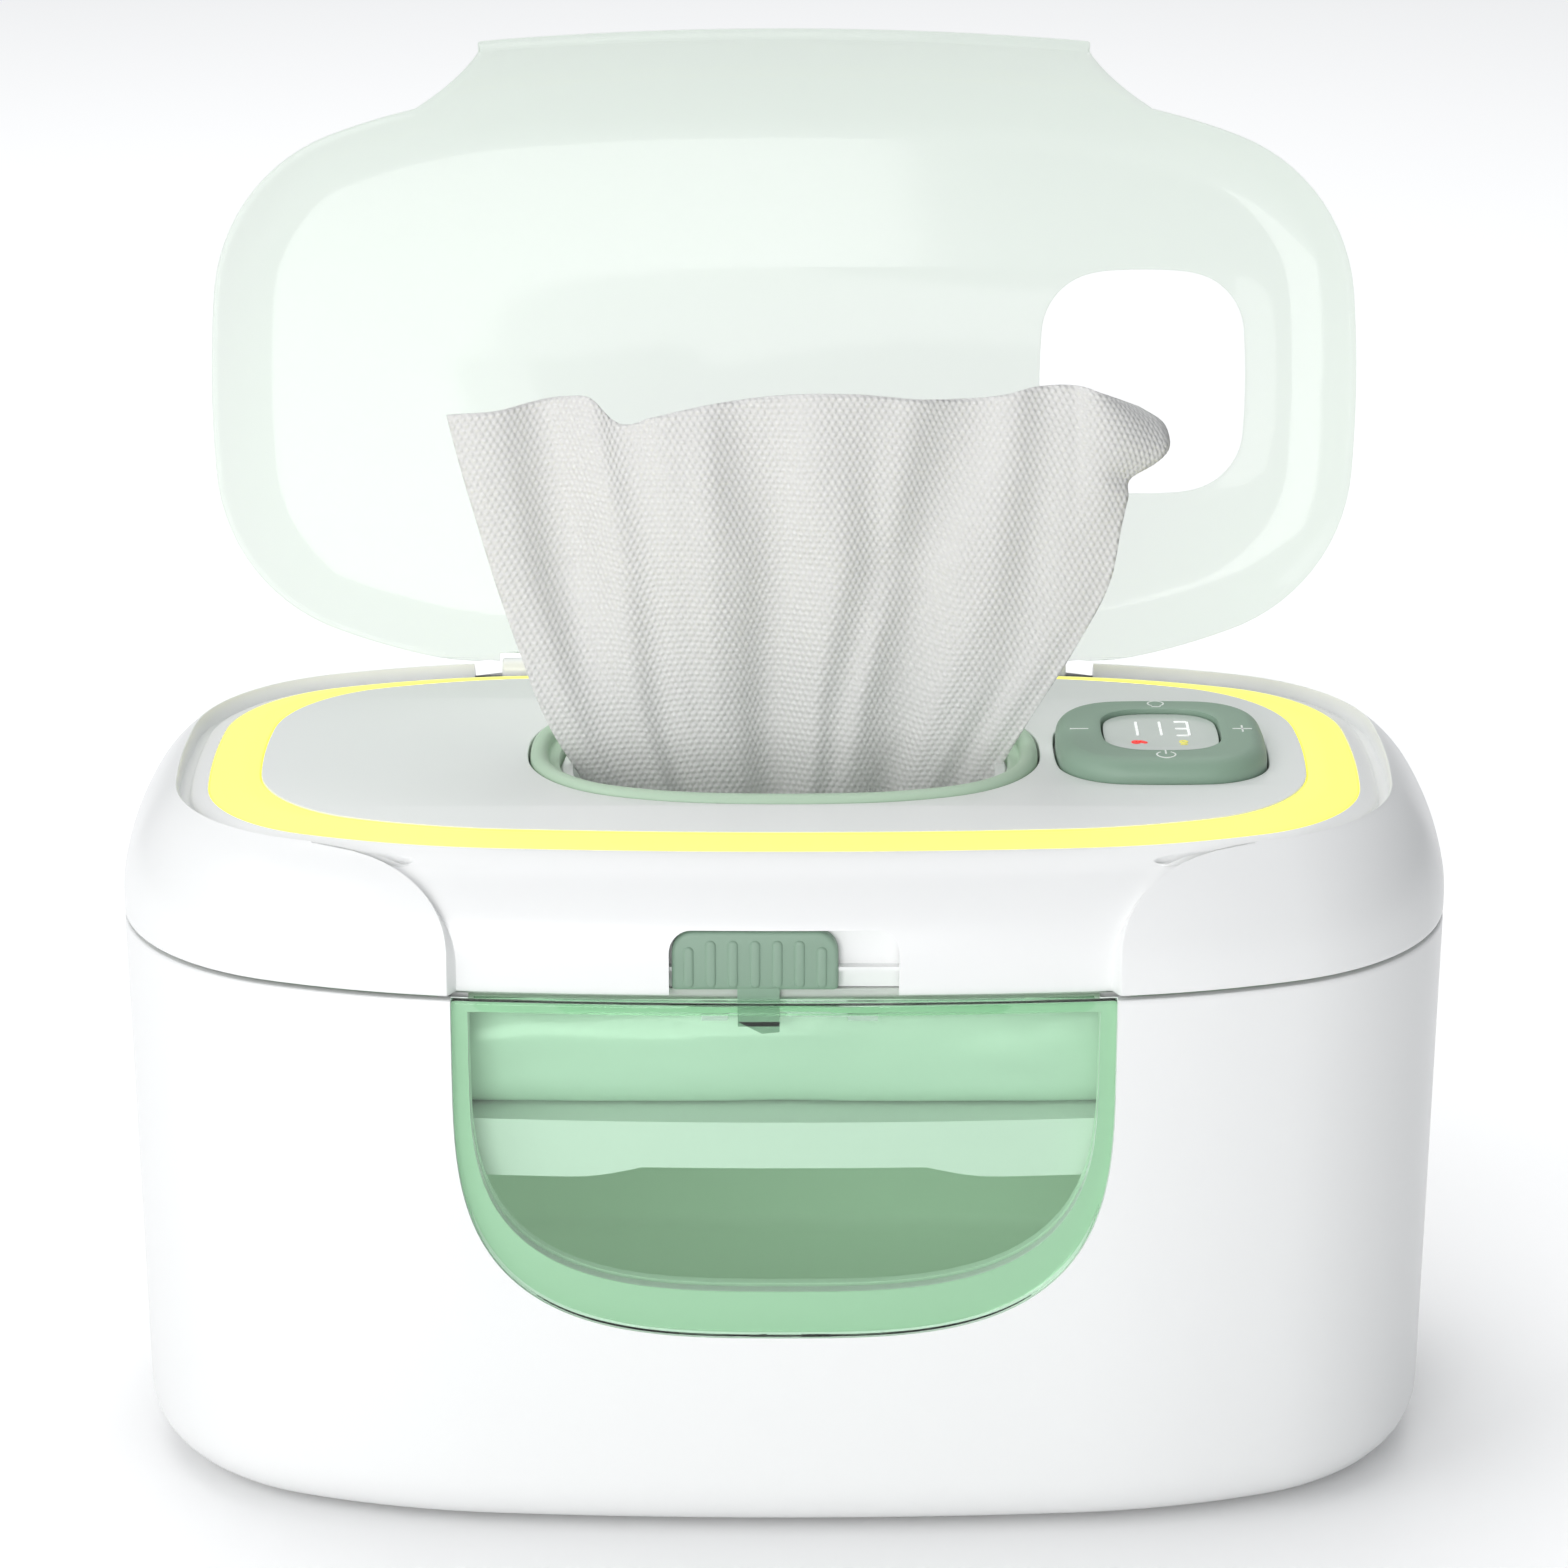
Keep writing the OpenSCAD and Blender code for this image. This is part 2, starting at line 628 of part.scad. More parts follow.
// Soft ring with four keys round the display: pressed anywhere it sinks 0.7 mm
module key_pad() color("darkseagreen") translate([pad_x, 0, 0]) difference() {
    sweep(pad) {
        difference() {
            union() {
                quad(-8.4, 0, 130.6, 133.6);
                quad(-8.4, -3.4, 133, 137);
                translate([-3.4, 133.6]) circle(r = 3.4, $fn = 64);
            }
            quad(-5.6, 1, 120, 130.6);
        }
    }
    slab(display, 0.4, 120, 140);
    // seats of the printed signs
    for (q = [-15.4, 15.4]) box(q - 1.9, q + 1.9, -0.25, 0.25, 136.75, 140);
    box(15.15, 15.65, -1.9, 1.9, 136.75, 140);
    for (q = [-15.8, 15.8]) along_z(0, q, 136.75, 140, 2.1);
}

module key_icons() color("white") translate([pad_x, 0, 0]) {
    for (q = [-15.4, 15.4]) box(q - 1.85, q + 1.85, -0.2, 0.2, 136.78, 137.02);
    box(15.2, 15.6, -1.85, 1.85, 136.78, 137.02);
    // power sign in front: an open ring and a stroke
    difference() {
        along_z(0, -15.8, 136.78, 137.02, 1.8);
        along_z(0, -15.8, 136, 138, 1.4);
        box(-0.7, 0.7, -15.6, -13, 136, 138);
    }
    box(-0.2, 0.2, -15.7, -13.9, 136.78, 137.02);
    // lamp sign behind: a bulb over its cap
    difference() {
        along_z(0, 16.2, 136.78, 137.02, 1.4);
        along_z(0, 16.2, 136, 138, 1);
    }
    box(-0.6, 0.6, 14, 14.4, 136.78, 137.02);
}

module wiring() color("firebrick") {
    wire(inlet_at.x, 22, 119.4, 41.9, inlet_at[1]);
    // lead of the thermostat: along the front of the port and up to the board
    box(-74.5, 61, -30.6, -28.6, 115.2, 117.2);
    box(59, 61, -30.6, -21.5, 115.2, 117.2);
    box(59, 61, -23.5, -21.5, 115.2, 121.85);
    for (q = thermostat_tabs) {
        box(q.x - 0.4, q.x + 0.4, -29.6, q.y - 0.35, 120.6, 121.4);
        box(q.x - 0.4, q.x + 0.4, -29.6, -28.8, 116, 121.4);
    }
}

module wire(x, y0, z0, y1, z1) {
    for (dx = [-1.4, 1.4]) {
        translate([x + dx, y0, z1]) rotate([-90, 0, 0]) cylinder(h = y1 - y0, r = 0.9, $fn = 24);
        along_z(x + dx, y0, z1, z0 + 2.4, 0.9);
        translate([x + dx, y0, z1]) sphere(r = 0.9, $fn = 24);
    }
}

// ---- latch -----------------------------------------------------------------------------

module latch_slider() color("darkseagreen") translate([latch_x, 0, 0]) {
    difference() {
        through(-66, -63.7) {
            quad(-15, 15, cover_z + 0.5, 116);
            quad(-11, 11, 110, 120);
            for (x = [-11, 11]) translate([x, 116]) circle(r = 4, $fn = 48);
        }
        box(-16, 16, -66, -63, 100, 108.9);
    }
    for (k = [-3:3]) {
        low = 110.2;
        top = abs(k) == 3 ? 116.4 : 117.6;
        through(-66.35, -65.6) translate([4 * k, 0]) {
            quad(-0.9, 0.9, low, top);
            for (z = [low, top]) translate([0, z]) circle(r = 0.9, $fn = 24);
        }
    }
    // hook that reaches down behind the window
    translate([-latch_x, 0, 0]) {
        through(-65.8, -64.6) polygon([[-8.4, 109.6], [-8.4, 102], [-0.8, 102], [-0.8, 109.6]]);
        through(-65.8, -62.5) polygon([[-8.4, 102.9], [-4, 100.6], [-0.8, 100.9], [-0.8, 102.9]]);
    }
}

// ---- lid -------------------------------------------------------------------------------

module lid_shell(reach, low) difference() {
    intersection() {
        shoulder_fill(shoulder_r, low);
        quad(-30, reach, low, 140);
    }
    shoulder_fill(shoulder_r - lid_t, low - 5);
}

// Modelled closed, then turned open about its hinge
module lid() color([0.8, 0.92, 0.85, 0.5])
    translate([0, lid_axis[0], lid_axis[1]]) rotate([-lid_open, 0, 0])
    translate([0, -lid_axis[0], -lid_axis[1]]) difference() {
        union() {
            difference() {
                union() {
                    sweep(body) intersection() {
                        lid_shell(-crest - 0.4, 100);
                        quad(-30, 0, 130.7, 140);
                    }
                    slab(body, -28, arc_z + shoulder_r - lid_t, arc_z + shoulder_r);
                }
                // straight back edge, notched round the pin posts
                box(-62, 62, lid_axis[0] + 1.1, 75, 125, 134);
                both_sides() for (x = [17.1, 50.5]) box(x, x + 6.5, 54.2, 75, 125, 134.2);
                // relief that lets the rim turn out of its groove
                both_sides() along_x(61.5, 74, lid_axis[0], lid_axis[1], 2.3);
            }
            // tongue that closes over the front
            intersection() {
                sweep(body_front) lid_shell(0, base_top + 1.4);
                through(-90, -35) polygon(tongue_points(tongue_w - 0.5, 132.4, 100));
            }
            both_sides() along_x(23.7, 50.3, lid_axis[0], lid_axis[1], 2.2);
        }
        both_sides() along_x(20, 55, lid_axis[0], lid_axis[1], 1.31);
        translate([pad_x, 0, 0]) slab(lid_hole, 0, 120, 150);
    }

module lid_pins() color("silver") both_sides()
    along_x(17.8, 56.2, lid_axis[0], lid_axis[1], 1.25);

// Top wipe of the pack: rises in folds from the port and fans out, its right end curled
module wipe_sheet() {
    cols = 40; rows = 12; t = 0.5;
    z0 = 112; h = 90;
    function at(u, v, side) =
        let (w = 31 + (u > 0 ? 34 : 31.5) * pow(v, 0.75), x = u * w - 0.4 + 7 * pow(max(0, u), 12) * v * v,
             fold = (2 + 4 * v) * (0.6 * sin(620 * u + 40) + 0.5 * sin(1130 * u - 60 * v)),
             edge = 2.2 * v * v * (0.6 * sin(410 * u - 30) + 0.7 * cos(700 * u + 20) + 1.4 * u))
        [x, 3 - 9 * v + 18 * v * v * u * u + fold + side * t / 2, z0 + h * v + edge];
    n = (cols + 1) * (rows + 1);
    pts = [for (side = [-1, 1], i = [0:rows], j = [0:cols]) at(2 * j / cols - 1, i / rows, side)];
    function id(s, i, j) = s * n + i * (cols + 1) + j;
    color("white") polyhedron(pts, concat(
        [for (i = [0:rows - 1], j = [0:cols - 1]) each
            [[id(0, i, j), id(0, i + 1, j + 1), id(0, i, j + 1)], [id(0, i, j), id(0, i + 1, j), id(0, i + 1, j + 1)],
             [id(1, i, j), id(1, i, j + 1), id(1, i + 1, j + 1)], [id(1, i, j), id(1, i + 1, j + 1), id(1, i + 1, j)]]],
        [for (j = [0:cols - 1]) each
            [[id(0, 0, j), id(0, 0, j + 1), id(1, 0, j + 1)], [id(0, 0, j), id(1, 0, j + 1), id(1, 0, j)],
             [id(0, rows, j), id(1, rows, j + 1), id(0, rows, j + 1)],
             [id(0, rows, j), id(1, rows, j), id(1, rows, j + 1)]]],
        [for (i = [0:rows - 1]) each
            [[id(0, i, 0), id(1, i, 0), id(1, i + 1, 0)], [id(0, i, 0), id(1, i + 1, 0), id(0, i + 1, 0)],
             [id(0, i, cols), id(1, i + 1, cols), id(1, i, cols)],
             [id(0, i, cols), id(0, i + 1, cols), id(1, i + 1, cols)]]]));
}

lower_housing();
foot_ring();
inner_tank();
tank_screws();
front_window();
latch_keeper();
lift_tray();
lift_springs();
wipes_pack();
upper_housing();
cover_liner();
cover_screws();
cover_seal();
hinge_pins();
deck_plate();
top_plate();
light_ring();
led_strip();
port_lip();
port_chute();
heater_plate();
heater_film();
thermostat();
control_board();
display_module();
display_lens();
key_pad();
key_icons();
power_inlet();
wiring();
latch_slider();
lid();
lid_pins();
wipe_sheet();
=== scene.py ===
# %% [markdown]
# # A baby wipe warmer
# The object is an oval white tub with a green see-through window, a hinged cover that holds
# the heater, a lit ring and a key pad, and a clear lid that stands open behind a pulled-up
# wipe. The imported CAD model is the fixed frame. This lesson dresses it: it builds smooth
# pieces with soft edges where the eye looks first, and gives every other part a finish.
# Lengths are written in millimetres, as in the drawing, and turned into metres at the end.

# %% Load the frame
import math

import bmesh
import bpy
import numpy as np
from mathutils import Matrix, Vector, noise
from mathutils.geometry import tessellate_polygon


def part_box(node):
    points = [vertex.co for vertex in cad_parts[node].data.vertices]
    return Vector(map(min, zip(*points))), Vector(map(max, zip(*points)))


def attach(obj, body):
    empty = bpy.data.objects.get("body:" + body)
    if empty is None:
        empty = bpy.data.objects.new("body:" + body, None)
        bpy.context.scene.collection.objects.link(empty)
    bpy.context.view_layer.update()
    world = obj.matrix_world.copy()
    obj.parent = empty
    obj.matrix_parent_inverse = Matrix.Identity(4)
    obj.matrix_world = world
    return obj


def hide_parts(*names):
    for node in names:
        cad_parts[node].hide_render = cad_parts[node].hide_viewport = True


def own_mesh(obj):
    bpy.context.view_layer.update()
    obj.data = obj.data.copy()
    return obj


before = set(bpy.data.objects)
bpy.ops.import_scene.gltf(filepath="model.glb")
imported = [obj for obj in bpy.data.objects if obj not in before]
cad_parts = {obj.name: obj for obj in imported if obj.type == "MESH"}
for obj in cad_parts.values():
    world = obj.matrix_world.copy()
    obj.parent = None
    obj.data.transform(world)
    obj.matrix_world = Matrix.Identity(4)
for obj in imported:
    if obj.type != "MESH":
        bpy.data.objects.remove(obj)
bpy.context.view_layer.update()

MM = 0.001

# %% [markdown]
# ## Camera
# A camera was fitted to the photograph through the body's outline, the lit ring and the lid.
# It stands about a metre in front, 20 degrees above the middle of the object, with a long
# lens, so the sides of the tub hardly converge. No shift and no depth of field are needed.

# %% Camera
PHOTO = 1568                  # side of the photograph in pixels
FOCAL_PIXELS = 5340
EYE = (0.0, -965.1, 451.3)
PITCH_DOWN = 18.633


def put(name, data):
    """Puts a camera, a lamp or a mesh into the scene as a new object."""
    thing = bpy.data.objects.new(name, data)
    bpy.context.collection.objects.link(thing)
    return thing


camera_data = bpy.data.cameras.new("camera")
camera_data.sensor_width = 36
camera_data.lens = FOCAL_PIXELS / PHOTO * 36
camera_data.clip_start = 0.05
camera_data.clip_end = 20
camera = put("camera", camera_data)
camera.location = Vector(EYE) * MM
camera.rotation_euler = (math.radians(90 - PITCH_DOWN), 0, 0)
bpy.context.scene.camera = camera
print("lens: %.1f mm" % camera_data.lens)

# %% [markdown]
# ## Node helpers
# The world, the floor and every finish are small trees of shader nodes. A helper adds a node
# and fills its inputs: a number or a colour is set on the socket, and an output of another
# node is linked to it. A second one does the same for sums, which have no names for inputs.

# %% Node helpers
def feed(tree, socket, value):
    """Links a socket to another node's output, or sets it to a constant."""
    if isinstance(value, bpy.types.NodeSocket):
        tree.links.new(value, socket)
    else:
        socket.default_value = value


def connect(tree, node, **inputs):
    """Feeds a node's inputs; keyword names are the sockets' names, with spaces as _."""
    for label, value in inputs.items():
        feed(tree, node.inputs[label.replace("_", " ")], value)
    return node


def add_node(tree, kind, **inputs):
    return connect(tree, tree.nodes.new("ShaderNode" + kind), **inputs)


def maths(tree, operation, *values):
    """A math node whose inputs are sockets or numbers; returns its output."""
    node = tree.nodes.new("ShaderNodeMath")
    node.operation = operation
    for socket, value in zip(node.inputs, values):
        feed(tree, socket, value)
    return node.outputs[0]


def mix_shaders(tree, share, first, second):
    """The first shader where the share is 0 and the second where it is 1."""
    mix = add_node(tree, "MixShader", Fac=share)
    tree.links.new(first.outputs[0], mix.inputs[1])
    tree.links.new(second.outputs[0], mix.inputs[2])
    return mix.outputs[0]


# %% [markdown]
# ## Room and lamps
# The photograph is a studio picture on white. White comes from what the camera sees in the
# world, not from stronger lamps: the world is pale and even. Three large soft lamps, one high
# on the left, one in front and one high behind, give the form its slow shading to the right.

# %% World
bpy.context.scene.view_settings.view_transform = "Standard"
world = bpy.data.worlds.new("studio")
bpy.context.scene.world = world
world.use_nodes = True
tree = world.node_tree
tree.nodes.clear()
rays = add_node(tree, "LightPath").outputs
seen = maths(tree, "MAXIMUM", rays["Is Camera Ray"], rays["Is Transmission Ray"])
seen = maths(tree, "MULTIPLY_ADD", rays["Is Glossy Ray"], 0.25, seen)
room = add_node(tree, "Background", Color=(0.93, 0.96, 1.0, 1), Strength=0.31)
white = add_node(tree, "Background", Color=(1, 1, 1, 1), Strength=1.0)
add_node(tree, "OutputWorld", Surface=mix_shaders(tree, seen, room, white))
print("world nodes:", len(tree.nodes))


# %% Lamps
def soft_lamp(name, place, target, size, power):
    """A large square white lamp that looks at a point; places and sizes in metres."""
    data = bpy.data.lights.new(name, "AREA")
    data.shape, data.size, data.energy = "SQUARE", size, power
    lamp = put(name, data)
    lamp.location = place
    lamp.rotation_euler = (Vector(target) - Vector(place)).to_track_quat("-Z", "Y").to_euler()
    print("%s: %.1f W" % (name, power))


soft_lamp("key_lamp", (-1.15, -0.75, 0.95), (0, 0, 0.08), 0.9, 5.6)
soft_lamp("front_lamp", (-0.42, -1.74, 0.38), (0, 0, 0.06), 1.0, 17.5)
soft_lamp("back_lamp", (-0.15, 0.62, 1.45), (0, 0, 0.05), 1.6, 12.5)

# %% [markdown]
# ## Mesh helpers
# Most pieces are swept: a profile of points (inset from the outline, height) is carried round
# the outline, and the rows of points are joined by faces. Small helpers number these faces,
# close the ends and make the mesh. Others join pieces, cut them, and give each its finish.

# %% Faces between points
def band(rows, close_around=True, close_up=False, start=0):
    """Faces between rows of equal length, whose points are numbered row by row."""
    count, width = len(rows), len(rows[0])
    faces = []
    for r in range(count if close_up else count - 1):
        below, above = start + r * width, start + (r + 1) % count * width
        for c in range(width if close_around else width - 1):
            d = (c + 1) % width
            faces.append((below + c, below + d, above + d, above + c))
    return faces


def ends(rows):
    """The two faces that close a band at its first and its last row."""
    width, last = len(rows[0]), (len(rows) - 1) * len(rows[0])
    return [tuple(range(width)), tuple(range(last, last + width))]


def bridge(low, up):
    """Faces between two closed loops of point numbers."""
    n = len(low)
    return [(low[i], low[(i + 1) % n], up[(i + 1) % n], up[i]) for i in range(n)]


def flat_fill(loops, start_of):
    """Triangles that fill the first loop and leave the others as holes."""
    flat = [[Vector((p[0], p[1], 0)) for p in loop] for loop in loops]
    numbers = [s + i for s, loop in zip(start_of, loops) for i in range(len(loop))]
    return [tuple(numbers[i] for i in t) for t in tessellate_polygon(flat)]


# %% Making, joining and cutting pieces
def build(name, points, faces, sharp=35):
    """Makes a smooth-shaded mesh object from millimetre points, with edges over `sharp` kept."""
    mesh = bpy.data.meshes.new(name)
    mesh.from_pydata([tuple(p) for p in np.asarray(points, float) * MM], [], [tuple(f) for f in faces])
    work = bmesh.new()
    work.from_mesh(mesh)
    bmesh.ops.remove_doubles(work, verts=work.verts, dist=1e-6)
    bmesh.ops.dissolve_degenerate(work, edges=work.edges, dist=1e-7)
    bmesh.ops.recalc_face_normals(work, faces=work.faces)
    work.to_mesh(mesh)
    work.free()
    mesh.shade_smooth()
    mesh.set_sharp_from_angle(angle=math.radians(sharp))
    return put(name, mesh)


def join(name, parts):
    """Joins separate pieces into one new piece."""
    work = bmesh.new()
    for part in parts:
        work.from_mesh(part.data)
    mesh = bpy.data.meshes.new(name)
    work.to_mesh(mesh)
    work.free()
    for part in parts:
        bpy.data.objects.remove(part)
    return put(name, mesh)


def cut(piece, *cutters):
    """Takes cutter solids out of a closed piece, and removes them."""
    for cutter in cutters:
        tool = piece.modifiers.new("cut", "BOOLEAN")
        tool.operation, tool.object, tool.solver = "DIFFERENCE", cutter, "EXACT"
    done = piece.evaluated_get(bpy.context.evaluated_depsgraph_get())
    mesh = bpy.data.meshes.new_from_object(done)
    piece.modifiers.clear()
    piece.data = mesh
    for cutter in cutters:
        bpy.data.objects.remove(cutter)


def open_edges(piece):
    """How many edges don't have two faces; a closed solid has none."""
    work = bmesh.new()
    work.from_mesh(piece.data)
    found = sum(len(edge.link_faces) != 2 for edge in work.edges)
    work.free()
    return found


def dress(piece, material, body, slot, *replaced):
    """Gives a piece its material, the body it moves with and the nodes it stands for."""
    piece.data.materials.clear()
    piece.data.materials.append(material)
    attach(piece, body)
    if replaced:
        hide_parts(*replaced)
    print("%s: %d faces, %d open edges, on %s" % (piece.name, len(piece.data.polygons), open_edges(piece), body))

# %% [markdown]
# ## Outlines
# Seen from above, the tub is a rounded oval: twelve arcs that run into each other without a
# corner. A point on it is named by the direction of its outward normal, so the same angle
# finds matching points on any inset of the outline, and on the lit ring's inner edge too.

# %% Outlines
SEAMS = {4: (0.07584, 0.99712), 16: (0.28, 0.96), 21: (0.352, 0.936), 86: (0.99712, 0.07584)}


class Outline:
    """A closed chain of arcs, from its corner radius and the steps between arc centres."""

    def __init__(self, radius, back, middle, centre=(0, 0)):
        (s1, c1), (s2, c2), (s3, c3) = SEAMS[4], SEAMS[middle], SEAMS[86]
        y = back[0] * c1 + back[1] * c2 - back[2] * c3
        first = np.array([back[0] * s1, y - back[0] * c1])
        second = first + back[1] * np.array([s2, -c2])
        side = np.array([second[0] - back[2] * s3, 0])
        self.centres = np.array([[0, y], first, second, side])
        self.radii = np.array([radius + back[0] + back[1], radius + back[1], radius, radius + back[2]])
        self.seams = np.degrees([math.asin(s) for s in (s1, s2, s3)])
        self.centre = np.array(centre, float)

    def at(self, angle, inset=0.0):
        """Points whose outward normals have these angles, moved inward by the inset."""
        angle = np.asarray(angle, float)
        nx, ny = np.cos(np.radians(angle)), np.sin(np.radians(angle))
        turn = np.degrees(np.arctan2(np.abs(nx), np.abs(ny)))
        arc = np.searchsorted(self.seams, turn)
        reach = self.radii[arc] - inset
        x = (self.centres[arc, 0] + reach * np.abs(nx)) * np.sign(nx)
        y = (self.centres[arc, 1] - reach * np.abs(ny)) * -np.sign(ny)
        return np.stack([x, y], -1) + self.centre

    def even(self, count, start=-90.0, end=270.0, inset=0.0, closed=True):
        """Angles whose points lie at even distances round the outline."""
        angles = np.linspace(start, end, 7201)
        steps = np.linalg.norm(np.diff(self.at(angles, inset), axis=0), axis=1)
        run = np.concatenate([[0], np.cumsum(steps)])
        return np.interp(np.linspace(0, run[-1], count, endpoint=not closed), run, angles)

    def angle_at_x(self, x, inset=0.0):
        """The normal's angle on the front right quarter, where the outline has this x."""
        angles = np.linspace(-90, 0, 3601)
        return np.interp(x, self.at(angles, inset)[:, 0], angles)

    def front_y(self, x, inset=0.0):
        """The y of the outline's front side at x."""
        angles = np.linspace(-90, 0, 3601)
        spots = self.at(angles, inset)
        return np.interp(np.abs(x), spots[:, 0], spots[:, 1])


body = Outline(47.3, (575, 95, 200), 21)
ring_inside = Outline(30.2, (575, 70, 150), 21)
port = Outline(25.5, (112.5, 40, 37.5), 21)
PAD_X = 71.6
pad = Outline(12.1, (87.5, 2.5, 100), 21, (PAD_X, 0))
display = Outline(7.2, (37.5, 2.5, 62.5), 16, (PAD_X, 0))
print("body half sizes: %.1f x %.1f mm" % (body.at(0)[0], -body.at(-90)[1]))


def row_at(flat, height):
    """A row of points: flat (x, y) places, all at one height."""
    return np.column_stack([flat, np.full(len(flat), height)])


def swept(outline, profile, angles):
    """Rows of points: each (inset, height) of the profile carried round the outline."""
    return [row_at(outline.at(angles, inset), height) for inset, height in profile]


def arc_profile(centre, radius, start, end, steps):
    """Points (inset, height) on a circle in the profile, angles from outward towards up."""
    turn = np.radians(np.linspace(start, end, steps))
    return [(centre[0] - radius * math.cos(t), centre[1] + radius * math.sin(t)) for t in turn]

# %% [markdown]
# ## The moulded surface, as a node group
# Every hard part here is moulded, and none is perfectly even: the colour drifts a little, the
# gloss varies, and the skin has a very fine ripple. One node group makes these three, and each
# material sets its own amounts. It reads the object's own coordinates, so nothing slides.

# %% Node group: moulded surface
def new_group(name, inputs, outputs):
    """A node group with named sockets; inputs are (name, kind, value)."""
    group = bpy.data.node_groups.new(name, "ShaderNodeTree")
    for label, kind, value in inputs:
        socket = group.interface.new_socket(label, in_out="INPUT", socket_type="NodeSocket" + kind)
        socket.default_value = value
    for label, kind in outputs:
        group.interface.new_socket(label, in_out="OUTPUT", socket_type="NodeSocket" + kind)
    return group, group.nodes.new("NodeGroupInput"), group.nodes.new("NodeGroupOutput")


moulded, given, made = new_group(
    "moulded_surface",
    [("Colour", "Color", (0.8, 0.8, 0.8, 1)), ("Drift", "Float", 0.03), ("Gloss", "Float", 0.3),
     ("Gloss Change", "Float", 0.05), ("Grain Scale", "Float", 900.0), ("Relief", "Float", 0.05)],
    [("Colour", "Color"), ("Roughness", "Float"), ("Normal", "Vector")])
place = add_node(moulded, "TexCoord").outputs["Object"]
clouds = add_node(moulded, "TexNoise", Vector=place, Scale=16, Detail=3)
grain = add_node(moulded, "TexNoise", Vector=place, Scale=given.outputs["Grain Scale"], Detail=2)
unevenness = maths(moulded, "SUBTRACT", clouds.outputs["Fac"], 0.5)
shade = maths(moulded, "MULTIPLY_ADD", unevenness, given.outputs["Drift"], 1.0)
tint = add_node(moulded, "HueSaturation", Color=given.outputs["Colour"], Value=shade)
gloss = maths(moulded, "MULTIPLY_ADD", unevenness, given.outputs["Gloss Change"], given.outputs["Gloss"])
bump = add_node(moulded, "Bump", Distance=0.0002, Strength=given.outputs["Relief"], Height=grain.outputs["Fac"])
connect(moulded, made, Colour=tint.outputs["Color"], Roughness=gloss, Normal=bump.outputs["Normal"])
print("group sockets:", [s.name for s in moulded.interface.items_tree])

# %% [markdown]
# ## Finishes
# A finish is the group above feeding a Principled shader. The parts differ in colour, gloss
# and grain, and a few of them have a coat, a little sheen or some light of their own. The lit
# parts glow as lamps do; the tank's glow is painted light.

# %% Finishes
def material_from(name, group, values, sockets):
    """A material whose shader takes its colour, roughness and normal from a node group."""
    material = bpy.data.materials.new(name)
    material.use_nodes = True
    tree = material.node_tree
    surface = tree.nodes.new("ShaderNodeGroup")
    surface.name, surface.node_tree = "surface", group
    connect(tree, surface, **values)
    connect(tree, tree.nodes["Principled BSDF"], Base_Color=surface.outputs["Colour"],
            Roughness=surface.outputs["Roughness"], Normal=surface.outputs["Normal"], **sockets)
    return material


def finish(name, colour, gloss, drift=0.03, change=0.05, grain_scale=900.0, relief=0.05, **sockets):
    """A moulded material; extra keyword names are Principled sockets with spaces as _."""
    return material_from(name, moulded, {
        "Colour": (*colour, 1), "Drift": drift, "Gloss": gloss, "Gloss_Change": change,
        "Grain_Scale": grain_scale, "Relief": relief}, sockets)


gloss_white = finish("gloss_white", (0.90, 0.905, 0.90), 0.30, drift=0.012, Coat_Weight=0.15, Coat_Roughness=0.12)
inner_white = finish("inner_white", (0.86, 0.88, 0.86), 0.42, drift=0.02)
plate_grey = finish("plate_grey", (0.89, 0.905, 0.89), 0.33, drift=0.015, relief=0.08)
sage = finish("sage_silicone", (0.25, 0.37, 0.28), 0.48, drift=0.05, relief=0.12, grain_scale=1400,
              Sheen_Weight=0.08)
sage_light = finish("sage_rim", (0.50, 0.66, 0.50), 0.42, drift=0.04, relief=0.1, grain_scale=1400)
band_green = finish("band_green", (0.55, 0.72, 0.57), 0.4, drift=0.02)
# The tank's colour is lifted and it gives off a faint green light: painted light for the lamplight that hardly gets
# into the closed tub.
tank_green_painted_light = finish("tank_green_painted_light", (0.64, 0.78, 0.66), 0.5, drift=0.04, relief=0.1,
                    Emission_Color=(0.5, 0.66, 0.5, 1), Emission_Strength=0.17)
rubber_black = finish("rubber_black", (0.045, 0.047, 0.047), 0.65, drift=0.1, relief=0.25)
seal_grey = finish("seal_grey", (0.62, 0.64, 0.61), 0.6, drift=0.05, relief=0.15)
pack_film = finish("pack_film", (0.70, 0.83, 0.73), 0.3, drift=0.05, relief=0.15, grain_scale=500, Coat_Weight=0.3)
print("mouldings and film:", len(bpy.data.materials))

# %% Finishes of metal and electrics
steel = finish("bright_steel", (0.60, 0.61, 0.62), 0.24, drift=0.06, change=0.12, relief=0.1, Metallic=1.0)
heat_metal = finish("heater_metal", (0.72, 0.73, 0.75), 0.36, drift=0.05, change=0.1, relief=0.12, Metallic=1.0)
film_amber = finish("film_amber", (0.62, 0.27, 0.05), 0.3, drift=0.1, relief=0.1)
board_green = finish("board_green", (0.03, 0.16, 0.06), 0.35, drift=0.15, relief=0.2)
socket_black = finish("socket_black", (0.02, 0.02, 0.022), 0.38, drift=0.1, relief=0.1)
wire_red = finish("wire_red", (0.42, 0.03, 0.02), 0.45, drift=0.08, relief=0.08)
module_white = finish("module_white", (0.8, 0.82, 0.8), 0.5)
print("with metal and electrics:", len(bpy.data.materials))

